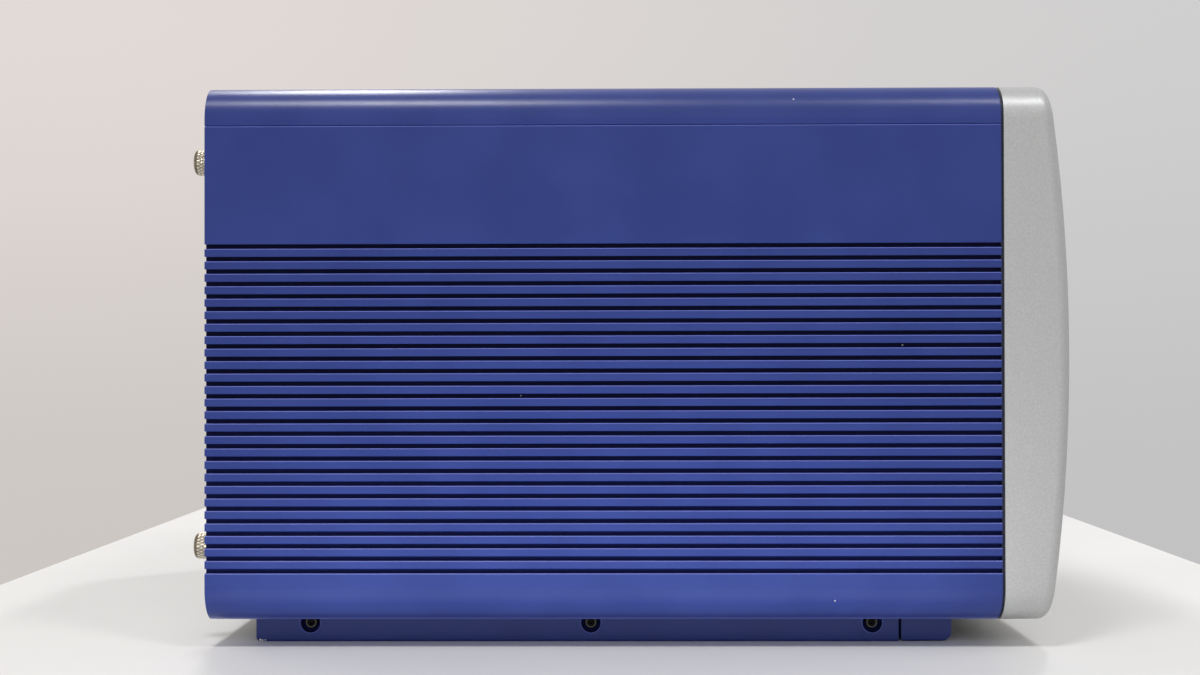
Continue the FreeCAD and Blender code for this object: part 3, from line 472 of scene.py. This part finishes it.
def cap_screw_heads():
    low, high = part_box("foot_rail_screws")
    radius = (high.z - low.z) / 2
    length = high.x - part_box("foot_rail_right")[1].x + COUNTERBORE_DEPTH
    shape = bmesh.new()
    for face_x, inward in ((low.x, 1), (high.x, -1)):
        for y in RAIL_SCREWS_Y:
            lathe(shape, (face_x, y, RAIL_SCREW_Z), (inward, 0, 0), [
                (length, 0),
                (length, radius),
                (CAP_EDGE_CHAMFER, radius),
                (0, radius - CAP_EDGE_CHAMFER),
                (0, CAP_RING_IN),
                (CAP_COUNTERSINK, CAP_RING_IN - CAP_COUNTERSINK),
                (CAP_COUNTERSINK, hexagonal(CAP_SOCKET_AF)),
                (CAP_SOCKET_DEPTH, hexagonal(CAP_SOCKET_AF)),
                (CAP_SOCKET_DEPTH + CAP_SOCKET_POINT, 0),
            ])
    return shape


def blackened_steel():
    look = Finish("blackened_steel")
    outer_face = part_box("foot_rail_screws")[1].x - CAP_FACE_BAND
    # Painted highlight: the flat outer face of each head is coloured grey as a glint.
    face_glint = abs(look.out_x).ramp(0.5, 0.9) * abs(look.x).ramp(outer_face - 0.1 * MM, outer_face)
    colour = face_glint.mix(paint("08080A"), paint("55534B"))
    grain = look.place.noise(0.25 * MM, 3.0) * (0.01 * MM)
    return look.set(base_color=colour, metallic=0.7, roughness=0.42, normal=look.tools.bump(grain))


cap_look = blackened_steel()
piece("foot_rail_screw_heads", cap_screw_heads(), cap_look, "case", ("foot_rail_screws",))


# Thumbscrews: four nickel-plated steel screws that clamp the rear cover, turned with a rounded end and a
# coarse diamond knurl for the fingers. The valleys of the knurl are coloured darker than its crests and
# its turned end.
KNURL_PITCH = 2.1 * MM
KNURL_DEPTH = 0.5 * MM
KNURL_TEETH = 23
STEPS_PER_TOOTH = 8
GRIP_ROUND = 3.4 * MM
GRIP_CHAMFER = 0.8 * MM
SHANK_R = 2.5 * MM
GRIP_STEP = 0.22 * MM
RIDGE_SLOPE = 1.5
TURNING_FEED = 0.4 * MM


def zigzag(turns):
    """0 at whole turns and 1 half way between them."""
    return 1 - abs(2 * (turns % 1) - 1)


def knurled_ring(radius, along):
    """Radius of one ring of the knurl as a function of the angle."""
    def ring(turn):
        tooth = turn / (2 * math.pi) * KNURL_TEETH
        ridge = min(zigzag(tooth + along / KNURL_PITCH / 2), zigzag(tooth - along / KNURL_PITCH / 2))
        return radius - KNURL_DEPTH * (1 - min(1, RIDGE_SLOPE * ridge))

    return ring


def thumbscrew_shape(tip, seat, end, radius):
    """Screw along +Y from the tip of its shank to the end of its grip."""
    profile = [(tip, 0), (tip, SHANK_R), (seat, SHANK_R), (seat, radius - KNURL_DEPTH - GRIP_CHAMFER)]
    rows = round((end - seat) / GRIP_STEP)
    for row in range(rows + 1):
        along = seat + (end - seat) * row / rows
        near_end = max(0, GRIP_ROUND - (end - along))
        near_seat = max(0, GRIP_CHAMFER - (along - seat))
        outer = radius - near_seat - GRIP_ROUND + math.sqrt(GRIP_ROUND ** 2 - near_end ** 2)
        profile.append((along, knurled_ring(outer, along) if row < rows else outer - KNURL_DEPTH))
    profile += [(end, (radius - GRIP_ROUND) * 0.5), (end, 0)]
    return lathe(bmesh.new(), (0, 0, 0), (0, 1, 0), profile, KNURL_TEETH * STEPS_PER_TOOTH)


def knurled_nickel():
    look = Finish("knurled_nickel")
    radius = (look.x ** 2 + look.z ** 2) ** 0.5
    low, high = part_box("thumbscrew_upper_left")
    full = (high.x - low.x) / 2
    crest = radius.ramp(full - KNURL_DEPTH, full - 0.15 * MM)
    end_face = look.out_y.ramp(0.6, 0.9)
    # Crests and the turned end are pale, the valleys of the knurl darker.
    colour = crest.larger(end_face).mix(paint("7A7263"), paint("DCD5C4"))
    turning = radius.maths("SINE", radius * (2 * math.pi / TURNING_FEED))
    height = turning * end_face * (0.004 * MM) + look.place.noise(0.6 * MM) * (0.01 * MM)
    return look.set(base_color=colour, metallic=0.9, roughness=0.3, normal=look.tools.bump(height))


def fit_thumbscrews():
    look = knurled_nickel()
    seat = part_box("rear_cover")[1].y
    for level in ("upper", "lower"):
        for side in ("left", "right"):
            name = f"thumbscrew_{level}_{side}"
            low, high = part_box(name)
            shape = thumbscrew_shape(low.y, seat, high.y, (high.z - low.z) / 2)
            axis = ((low.x + high.x) / 2, 0, (low.z + high.z) / 2)
            piece(name + "_knurled", shape, look, name, (name,), place=axis)


fit_thumbscrews()


# Pins of the tilt feet: plain dowels of nickel-plated steel that the feet turn on, held by the brackets
# behind the foot rails.
def plain_nickel():
    look = Finish("plain_nickel")
    colour = look.place.noise(2 * MM).mix(paint("B9B3A6"), paint("CFCABE"))
    grain = look.stretched(0.1, 1, 1).noise(0.2 * MM) * (0.004 * MM)
    return look.set(base_color=colour, metallic=0.9, roughness=0.3, normal=look.tools.bump(grain))


nickel = plain_nickel()
dress(nickel, "tilt_foot_pins")


# Front panels: three plug-in modules and a blank panel over the free slots, cut from aluminium sheet,
# painted in a plain satin grey and screwed to the front cross rails. Their sawn edges are left bare.
PANEL_EDGE_ROUND = 0.3 * MM


def soften(name, width):
    """Rounds the edges of a CAD piece by a small width."""
    weld = NODES[name].modifiers.new("joined_corners", "WELD")
    weld.merge_threshold = 0.001 * MM
    bevel = NODES[name].modifiers.new("rounded_edges", "BEVEL")
    bevel.width = width
    bevel.segments = 3
    bevel.limit_method = "ANGLE"
    bevel.harden_normals = True


def satin_grey():
    look = Finish("satin_grey_paint")
    painted = abs(look.out_y).ramp(0.3, 0.7)
    paint_tone = look.place.noise(60 * MM).mix(paint("A9ABAD"), paint("B3B5B6"))
    colour = painted.mix(paint("BDBEBF"), paint_tone)
    grain = look.place.noise(0.35 * MM, 3.0) * (0.012 * MM)
    rough = look.place.noise(15 * MM) * 0.08 + 0.42
    return look.set(base_color=colour, metallic=0.1, roughness=rough, normal=look.tools.bump(grain))


PANELS = {
    "module_1_panel": "module_1",
    "module_2_panel": "module_2",
    "module_3_panel": "module_3",
    "blank_panel": "case",
}
grey = satin_grey()
dress(grey, *PANELS)
for name in PANELS:
    soften(name, PANEL_EDGE_ROUND)


# Captive panel screws: nickel-plated slotted screws in the corners of every panel, each in a black
# plastic collar that keeps it on the panel when the module is drawn out.
SCREW_SIDE_INSET = 7.62 * MM
SCREW_END_INSET = 3.2 * MM
COLLAR_R = 3.4 * MM
COLLAR_T = 0.9 * MM
HEAD_R = 2.7 * MM
HEAD_T = 2.6 * MM
SLOT_W = 0.8 * MM
SLOT_DEPTH = 1.3 * MM
HEAD_CHAMFER = 0.3 * MM
COLLAR_CHAMFER = 0.2 * MM
HALF_HEAD_STEPS = 16
NEXT_SCREW_TURN = 0.7


def panel_corners(name):
    """Places of the screws of a panel, on its front face."""
    low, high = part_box(name)
    return [
        Vector((x, low.y, z))
        for x in (low.x + SCREW_SIDE_INSET, high.x - SCREW_SIDE_INSET)
        for z in (low.z + SCREW_END_INSET, high.z - SCREW_END_INSET)
    ]


def slotted_head(shape, centre, radius, base, top, turn):
    """Screw head along -Y from base to top, with a slot across it at an angle."""
    floor = top - SLOT_DEPTH
    lathe(shape, centre, (0, -1, 0), [(base, 0), (base, radius), (floor, radius), (floor, 0)], 32)
    start = math.asin(SLOT_W / 2 / radius)
    for half in (0, math.pi):
        rings = []
        for along, edge in ((floor, 0), (top - HEAD_CHAMFER, 0), (top, HEAD_CHAMFER)):
            ring = []
            for step in range(HALF_HEAD_STEPS + 1):
                angle = start + (math.pi - 2 * start) * step / HALF_HEAD_STEPS
                x = math.cos(angle) * (radius - edge)
                z = max(SLOT_W / 2, math.sin(angle) * (radius - edge))
                place = Vector((x, -along, z))
                place.rotate(Quaternion((0, 1, 0), half + turn))
                ring.append(shape.verts.new(centre + place))
            rings.append(ring)
        for first, second in zip(rings, rings[1:]):
            for step in range(HALF_HEAD_STEPS + 1):
                after = (step + 1) % (HALF_HEAD_STEPS + 1)
                shape.faces.new([first[step], first[after], second[after], second[step]])
        shape.faces.new(rings[-1])


def black_plastic():
    look = Finish("black_moulded_plastic")
    colour = look.place.noise(8 * MM).mix(paint("131314"), paint("1C1C1E"))
    spark = look.place.noise(0.3 * MM, 4.0) * (0.03 * MM)
    rough = look.place.noise(12 * MM) * 0.1 + 0.45
    return look.set(base_color=colour, roughness=rough, normal=look.tools.bump(spark))


moulded_black = black_plastic()


def fit_panel_screws():
    for number, (name, body) in enumerate(PANELS.items()):
        heads = bmesh.new()
        collars = bmesh.new()
        for corner, centre in enumerate(panel_corners(name)):
            turn = NEXT_SCREW_TURN * (number * 4 + corner)
            slotted_head(heads, centre, HEAD_R, COLLAR_T / 2, COLLAR_T + HEAD_T, turn)
            lathe(collars, centre, (0, -1, 0), [
                (0, 0),
                (0, COLLAR_R),
                (COLLAR_T - COLLAR_CHAMFER, COLLAR_R),
                (COLLAR_T, COLLAR_R - COLLAR_CHAMFER),
                (COLLAR_T, 0),
            ], 32)
        piece(name + "_screws", heads, nickel, body)
        piece(name + "_screw_collars", collars, moulded_black, body)


fit_panel_screws()


# Coaxial sockets: nickel-plated bayonet sockets for the measuring leads. Each has a hexagonal body nut
# against the panel, two locking lugs, a white fluoroplastic insulator and a gilt centre contact.
NUT_AF = 13.0 * MM
NUT_T = 2.4 * MM
NUT_CHAMFER = 0.5 * MM
FLANGE_R = 5.3 * MM
FLANGE_END = NUT_T + 0.7 * MM
BARREL_START = NUT_T + 1.0 * MM
BARREL_R = 4.8 * MM
BARREL_BORE_R = 4.05 * MM
BARREL_LIP = 0.45 * MM
BORE_END = 3.6 * MM
LUG_R = 1.0 * MM
LUG_REACH = 5.6 * MM
LUG_SETBACK = 4.6 * MM
LUG_CHAMFER = 0.2 * MM
ROOT_OVERLAP = 0.2 * MM
INSULATOR_R = 2.6 * MM
INSULATOR_SETBACK = 1.5 * MM
INSULATOR_CHAMFER = 0.4 * MM
CONTACT_R = 1.1 * MM
CONTACT_SETBACK = 1.1 * MM
CONTACT_TAPER = 0.2 * MM
CONTACT_RIM = 0.1 * MM
CONTACT_BORE_R = 0.7 * MM
CONTACT_BORE_END = BORE_END + 2 * MM


def nut_ring(across_flats, limit):
    """A hexagon with its corners turned down to a radius."""
    corners = hexagonal(across_flats)

    def radius(turn):
        return min(corners(turn), limit)

    return radius


def socket_places(name):
    """Places of a module's sockets on its panel: one or two columns of three."""
    low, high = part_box(name)
    half_z = NUT_AF / 2
    half_x = half_z / math.cos(math.pi / 6)
    columns = sorted({round(low.x + half_x, 5), round(high.x - half_x, 5)})
    rows = (low.z + half_z, (low.z + high.z) / 2, high.z - half_z)
    return [Vector((x, high.y, z)) for x in columns for z in rows]


def socket_shapes(name):
    """The nickel, white and gilt parts of all the sockets of a module."""
    low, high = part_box(name)
    length = high.y - low.y
    metal = bmesh.new()
    white = bmesh.new()
    gilt = bmesh.new()
    out = (0, -1, 0)
    for centre in socket_places(name):
        lathe(metal, centre, out, [
            (0, 0),
            (0, hexagonal(NUT_AF)),
            (NUT_T - NUT_CHAMFER, nut_ring(NUT_AF, NUT_AF / 2 / math.cos(math.pi / 6))),
            (NUT_T, nut_ring(NUT_AF, NUT_AF / 2 + 0.1 * MM)),
            (NUT_T, FLANGE_R),
            (FLANGE_END, FLANGE_R),
            (BARREL_START, BARREL_R),
            (length - BARREL_LIP, BARREL_R),
            (length, BARREL_R - BARREL_LIP),
            (length, BARREL_BORE_R),
            (BORE_END, BARREL_BORE_R),
            (BORE_END, 0),
        ])
        for side in (-1, 1):
            root = centre + Vector((side * (BARREL_R - ROOT_OVERLAP), -(length - LUG_SETBACK), 0))
            reach = LUG_REACH - BARREL_R + ROOT_OVERLAP
            lathe(metal, root, (side, 0, 0), [
                (0, 0),
                (0, LUG_R),
                (reach - LUG_CHAMFER, LUG_R),
                (reach, LUG_R - LUG_CHAMFER),
                (reach, 0),
            ], 20)
        insulator_end = length - INSULATOR_SETBACK
        lathe(white, centre, out, [
            (BORE_END - ROOT_OVERLAP, 0),
            (BORE_END - ROOT_OVERLAP, INSULATOR_R),
            (insulator_end - INSULATOR_CHAMFER, INSULATOR_R),
            (insulator_end, INSULATOR_R - INSULATOR_CHAMFER),
            (insulator_end, CONTACT_R),
            (BORE_END, CONTACT_R),
        ], 32)
        contact_end = length - CONTACT_SETBACK
        lathe(gilt, centre, out, [
            (BORE_END, 0),
            (BORE_END, CONTACT_R),
            (contact_end - CONTACT_TAPER, CONTACT_R),
            (contact_end, CONTACT_BORE_R + CONTACT_RIM),
            (contact_end, CONTACT_BORE_R),
            (CONTACT_BORE_END, CONTACT_BORE_R),
            (CONTACT_BORE_END, 0),
        ], 24)
    return metal, white, gilt


def bright_nickel():
    look = Finish("bright_nickel")
    tone = look.place.noise(3 * MM).mix(paint("C6C1B6"), paint("D8D4CB"))
    turning = look.stretched(1, 8, 1).noise(1.2 * MM, 3.0) * (0.006 * MM)
    rough = look.place.noise(2 * MM) * 0.08 + 0.18
    return look.set(base_color=tone, metallic=1.0, roughness=rough, normal=look.tools.bump(turning))


def white_fluoroplastic():
    look = Finish("white_fluoroplastic")
    tone = look.place.noise(2 * MM).mix(paint("E4E2DC"), paint("EFEDE8"))
    grain = look.place.noise(0.3 * MM) * (0.01 * MM)
    return look.set(base_color=tone, roughness=0.5, normal=look.tools.bump(grain))


def gilt_contact():
    look = Finish("gilt_contact")
    tone = look.place.noise(1 * MM).mix(paint("D9A545"), paint("E8BC62"))
    grain = look.place.noise(0.4 * MM) * (0.005 * MM)
    return look.set(base_color=tone, metallic=1.0, roughness=0.25, normal=look.tools.bump(grain))


socket_nickel = bright_nickel()
insulator_white = white_fluoroplastic()
gilt_look = gilt_contact()
for module in ("module_1", "module_2", "module_3"):
    node = module + "_sockets"
    metal, white, gilt = socket_shapes(node)
    piece(node + "_bayonet", metal, socket_nickel, module, (node,))
    piece(node + "_insulators", white, insulator_white, module)
    piece(node + "_contacts", gilt, gilt_look, module)


# Module handles: solid black moulded grips, one at each end of a module, screwed to it from behind the
# panel. They are waisted so that two fingers can draw the module out.
HANDLE_ROUND = 1.4 * MM
for module in ("module_1", "module_2", "module_3"):
    soften(module + "_handles", HANDLE_ROUND)
    dress(moulded_black, module + "_handles")


# Rear cover: steel plate set into the rear end of the shell, painted like the front panels and punched
# for the fan's air and for the fittings that it carries. The four thumbscrews hold it.
dress(grey, "rear_cover")


# Fan: square moulded housing against the rear cover, and a bladed rotor on a short shaft. Both are
# glass-filled plastic. The rotor is a little smoother and has a bare turned ring round its hub.
HUB_RING_R = 17.0 * MM
HUB_RING_W = 1.2 * MM


def rotor_plastic():
    look = Finish("rotor_plastic")
    middle = (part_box("fan_rotor")[0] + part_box("fan_rotor")[1]) / 2
    radius = ((look.x - middle.x) ** 2 + (look.z - middle.z) ** 2) ** 0.5
    ring = abs(radius - HUB_RING_R).ramp(HUB_RING_W, 0.8 * HUB_RING_W) * abs(look.out_y).ramp(0.9, 0.98)
    moulding = look.place.noise(10 * MM).mix(paint("1A1A1C"), paint("242426"))
    colour = ring.mix(moulding, paint("8C8C8E"))
    wave = look.place.noise(2 * MM) * (0.02 * MM)
    return look.set(base_color=colour, roughness=0.38, normal=look.tools.bump(wave))


dress(moulded_black, "fan_housing")
dress(rotor_plastic(), "fan_rotor")


# Mains inlet: black moulding with a plug cavity, a fuse drawer and a rocker switch, snapped into the
# rear cover. Its three blades are nickel-plated brass.
BLADES_MM = ((-7.0, -2.0), (7.0, -2.0), (0.0, 2.0))
BLADE_W = 2.0 * MM
BLADE_H = 4.0 * MM
BLADE_BLEND = 0.1 * MM
CAVITY_BELOW_MIDDLE = 19.0 * MM
FITTING_ROUND = 0.5 * MM


def inlet_plastic():
    look = Finish("inlet_plastic")
    middle = (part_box("mains_inlet")[0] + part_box("mains_inlet")[1]) / 2
    blades = Shade(look.tree, None)
    half_w = BLADE_W / 2 + BLADE_BLEND
    half_h = BLADE_H / 2 + BLADE_BLEND
    for x, z in BLADES_MM:
        across = abs(look.x - (middle.x + x * MM)).ramp(half_w + BLADE_BLEND, half_w)
        level = middle.z - CAVITY_BELOW_MIDDLE + z * MM
        up = abs(look.z - level).ramp(half_h + BLADE_BLEND, half_h)
        blades = across * up if blades.socket is None else blades.larger(across * up)
    moulding = look.place.noise(8 * MM).mix(paint("121213"), paint("1B1B1D"))
    colour = blades.mix(moulding, paint("C9C4B8"))
    grain = look.place.noise(0.3 * MM, 4.0) * (0.02 * MM)
    return look.set(base_color=colour, metallic=blades, roughness=0.42, normal=look.tools.bump(grain))


def rocker_plastic():
    look = Finish("rocker_plastic")
    colour = look.place.noise(6 * MM).mix(paint("0F0F10"), paint("171718"))
    wave = look.place.noise(1.5 * MM) * (0.01 * MM)
    return look.set(base_color=colour, roughness=0.28, normal=look.tools.bump(wave))


dress(inlet_plastic(), "mains_inlet")
dress(moulded_black, "fuse_drawer")
dress(rocker_plastic(), "mains_switch")
soften("fuse_drawer", FITTING_ROUND)
soften("mains_switch", FITTING_ROUND)


# Data port: folded shell of nickel-plated steel, fixed in the rear cover, with a black insulating
# tongue that carries four gilt contacts.
TONGUE_W = 5.6 * MM
TONGUE_H = 3.1 * MM
TONGUE_L = 8.6 * MM
CONTACT_W = 0.9 * MM
CONTACT_L = 0.9 * TONGUE_L
CONTACT_LIFT = 0.1 * MM
PORT_FLOOR = 13.0 * MM


def block(shape, low, high):
    """Adds a box between two corners."""
    made = bmesh.ops.create_cube(shape, size=1.0)["verts"]
    low = Vector(low)
    high = Vector(high)
    bmesh.ops.scale(shape, vec=high - low, verts=made)
    bmesh.ops.translate(shape, vec=(low + high) / 2, verts=made)


def fit_port_tongue():
    low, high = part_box("data_port")
    middle = (low + high) / 2
    floor = high.y - PORT_FLOOR
    tongue = bmesh.new()
    block(
        tongue, (middle.x - TONGUE_W / 2, floor, middle.z - TONGUE_H / 2),
        (middle.x + TONGUE_W / 2, floor + TONGUE_L, middle.z + TONGUE_H / 2),
    )
    contacts = bmesh.new()
    for side_x in (-1, 1):
        for side_z in (-1, 1):
            x = middle.x + side_x * TONGUE_W / 4
            z = middle.z + side_z * TONGUE_H / 2
            block(
                contacts, (x - CONTACT_W / 2, floor, z - CONTACT_LIFT),
                (x + CONTACT_W / 2, floor + CONTACT_L, z + CONTACT_LIFT),
            )
    piece("data_port_tongue", tongue, moulded_black, "case")
    piece("data_port_contacts", contacts, gilt_look, "case")


dress(socket_nickel, "data_port")
fit_port_tongue()


# Earth socket: turned from brass and fixed in the rear cover, for the round plug of an earth lead. The
# metal is tarnished in spots.
EARTH_RIM_ROUND = 0.4 * MM
EARTH_TURNING_FEED = 0.3 * MM


def turned_brass():
    look = Finish("turned_brass")
    middle = (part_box("earth_socket")[0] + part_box("earth_socket")[1]) / 2
    radius = ((look.x - middle.x) ** 2 + (look.z - middle.z) ** 2) ** 0.5
    rings = radius.maths("SINE", radius * (2 * math.pi / EARTH_TURNING_FEED)) * (0.003 * MM)
    tarnish = look.place.noise(3 * MM, 3.0).ramp(0.35, 0.7)
    colour = tarnish.mix(paint("D2AE5E"), paint("A98542"))
    rough = tarnish * 0.2 + 0.22
    return look.set(base_color=colour, metallic=1.0, roughness=rough, normal=look.tools.bump(rings))


dress(turned_brass(), "earth_socket")
soften("earth_socket", EARTH_RIM_ROUND)


# Underside: zinc-plated steel pan with two rows of air slots, folded to fit between the side
# extrusions, and the two angle brackets that join the foot rails to it. The zinc shows its crystals.
SPANGLE = 7 * MM


def zinc_plate():
    look = Finish("zinc_plated_steel")
    spangle = look.cells(SPANGLE)
    rolled = look.stretched(1, 0.05, 1).noise(1.5 * MM, 3.0)
    colour = (spangle * 0.4 + rolled * 0.6).ramp(0.2, 0.8).mix(paint("9DA0A2"), paint("BCC0C3"))
    rough = spangle * 0.12 + 0.34
    height = rolled * (0.006 * MM)
    return look.set(base_color=colour, metallic=0.9, roughness=rough, normal=look.tools.bump(height))


dress(zinc_plate(), "base_pan", "rail_bracket_left", "rail_bracket_right")


# Card cage: aluminium side plates and extruded cross rails, screwed together and left in their mill
# finish. The sawn and tapped blocks in the corners of the bezel have the same bare metal.
def mill_aluminium(name, streaks):
    look = Finish(name)
    lines = look.stretched(*streaks).noise(0.8 * MM, 4.0)
    tone = (lines * 0.7 + look.place.noise(40 * MM) * 0.3).ramp(0.3, 0.7)
    colour = tone.mix(paint("B4B6B8"), paint("CBCDCF"))
    rough = lines * 0.15 + 0.3
    height = lines * (0.01 * MM)
    return look.set(base_color=colour, metallic=0.95, roughness=rough, normal=look.tools.bump(height))


dress(mill_aluminium("rolled_aluminium", (1, 0.02, 1)), "cage_plate_left", "cage_plate_right")
dress(
    mill_aluminium("extruded_aluminium", (0.02, 1, 1)),
    "cage_rail_front_upper", "cage_rail_front_lower", "cage_rail_rear_upper", "cage_rail_rear_lower",
)
dress(mill_aluminium("sawn_aluminium", (1, 1, 0.1)), "corner_blocks")


# Card guides: thin channels of dark red plastic that the boards slide in, clipped to the front and the
# rear cross rails above and below each board.
def guide_red():
    look = Finish("guide_plastic")
    colour = look.place.noise(12 * MM).mix(paint("8A2A22"), paint("9A342A"))
    grain = look.place.noise(0.4 * MM, 3.0) * (0.015 * MM)
    return look.set(base_color=colour, roughness=0.45, normal=look.tools.bump(grain))


dress(guide_red(), "card_guides")


# Power supply: folded aluminium case with round air holes in rows, behind the card cage. The holes are
# painted shade, dark spots in its finish.
AIR_HOLE_PITCH = 7.0 * MM
AIR_HOLE_R = 1.9 * MM


def perforated_case():
    def along(axis):
        return axis.maths("PINGPONG", axis, AIR_HOLE_PITCH / 2) - AIR_HOLE_PITCH / 4

    look = Finish("perforated_aluminium")
    flat = abs(look.out_z).ramp(0.5, 0.9)
    upright = abs(look.out_y).ramp(0.5, 0.9)
    spread = (along(look.x) ** 2 + (along(look.y) * flat + along(look.z) * (1 - flat)) ** 2) ** 0.5
    # Painted shade where the air holes are.
    hole_shade = (spread * 2).ramp(AIR_HOLE_R * 1.05, AIR_HOLE_R * 0.95) * flat.larger(upright)
    lines = look.stretched(0.02, 1, 1).noise(0.8 * MM, 4.0)
    colour = hole_shade.mix(lines.mix(paint("B2B4B6"), paint("C8CACC")), paint("141414"))
    metal = 0.95 - hole_shade * 0.95
    height = lines * (0.01 * MM)
    return look.set(base_color=colour, metallic=metal, roughness=0.4, normal=look.tools.bump(height))


dress(perforated_case(), "power_supply")


# Circuit boards: glass-fibre boards with a green solder mask. Tinned shield cans cover the measuring
# circuits, a grey connector plugs into the backplane, and the open ground carries small parts.
CONNECTOR_D = 9.0 * MM
BOARD_T = 1.6 * MM
CHIP_L = 10.0 * MM
CHIP_W = 7.6 * MM
CHIP_T = 2.4 * MM
CHIP_PITCH = 16.0 * MM
CHIP_ROWS = 13
COIL_NEAR = 11.0 * MM
COIL_FAR = 16.0 * MM
COIL_HALF_W = 2.0 * MM
COIL_T = 1.2 * MM
CAPACITOR_R = 4.0 * MM
CAPACITOR_H = 10.0 * MM
CAPACITOR_CHAMFER = 0.5 * MM
CAPACITOR_PITCH = 15.0 * MM
FRONT_GROUND = 24.0 * MM
REAR_GROUND = 50.0 * MM
EDGE_GROUND = 18.0 * MM


def board_finish(name, board_x, connector_low, connector_high):
    """Green on the board's own faces, tinned on the cans and grey on the connectors."""
    look = Finish(name)
    tracks = look.stretched(1, 0.12, 1).noise(2.2 * MM, 2.0).ramp(0.48, 0.52)
    mask_green = tracks.mix(paint("0E4A2A"), paint("176038"))
    tin = look.place.noise(6 * MM).mix(paint("B9BBB8"), paint("CFD1CD"))
    connector = look.y.ramp(connector_low - 0.1 * MM, connector_low)
    connector = connector * look.y.ramp(connector_high + 0.1 * MM, connector_high)
    half = BOARD_T / 2
    raised = abs(look.x - (board_x + half)).ramp(half + 0.1 * MM, half + 0.3 * MM)
    can = raised * (1 - connector)
    colour = connector.mix(can.mix(mask_green, tin), paint("8E8F8C"))
    bumps = tracks * (0.03 * MM) + look.place.noise(1.5 * MM) * (0.02 * MM)
    metal = can * 0.9
    rough = can * 0.1 + 0.3
    return look.set(base_color=colour, metallic=metal, roughness=rough, normal=look.tools.bump(bumps))


def capacitor_look():
    look = Finish("capacitor_sleeve")
    top = look.out_x.ramp(0.6, 0.9)
    sleeve = look.place.noise(5 * MM).mix(paint("1B2448"), paint("222C55"))
    colour = top.mix(sleeve, paint("B9BABA"))
    grain = look.place.noise(0.6 * MM) * (0.01 * MM)
    return look.set(base_color=colour, metallic=top * 0.8, roughness=0.35, normal=look.tools.bump(grain))


capacitor_blue = capacitor_look()
for module in ("module_1", "module_2", "module_3"):
    node = module + "_board"
    low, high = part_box(node)
    dress(board_finish(node + "_green", low.x, high.y - CONNECTOR_D, high.y), node)
    face = low.x + BOARD_T
    chips = bmesh.new()
    capacitors = bmesh.new()
    for row in range(CHIP_ROWS):
        z = low.z + EDGE_GROUND + row * CHIP_PITCH
        y = low.y + FRONT_GROUND
        turned = row % 3 == 0
        half_y = (CHIP_W if turned else CHIP_L) / 2
        half_z = (CHIP_L if turned else CHIP_W) / 2
        block(chips, (face, y - half_y, z - half_z), (face + CHIP_T, y + half_y, z + half_z))
        if row % 2:
            near_end = (face, y - COIL_FAR, z - COIL_HALF_W)
            far_end = (face + COIL_T, y - COIL_NEAR, z + COIL_HALF_W)
            block(chips, near_end, far_end)
        rear_y = high.y - REAR_GROUND
        if row % 4 == 1:
            for column in range(2):
                place = (face, rear_y + column * CAPACITOR_PITCH, z)
                lathe(capacitors, place, (1, 0, 0), [
                    (0, 0),
                    (0, CAPACITOR_R),
                    (CAPACITOR_H - CAPACITOR_CHAMFER, CAPACITOR_R),
                    (CAPACITOR_H, CAPACITOR_R - CAPACITOR_CHAMFER),
                    (CAPACITOR_H, 0),
                ], 24)
        else:
            near_end = (face, rear_y - half_y, z - half_z)
            block(chips, near_end, (face + CHIP_T, rear_y + half_y, z + half_z))
    piece(node + "_chips", chips, moulded_black, module)
    piece(node + "_capacitors", capacitors, capacitor_blue, module)

low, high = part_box("backplane")
dress(board_finish("backplane_green", 0.0, low.y, low.y + CONNECTOR_D), "backplane")
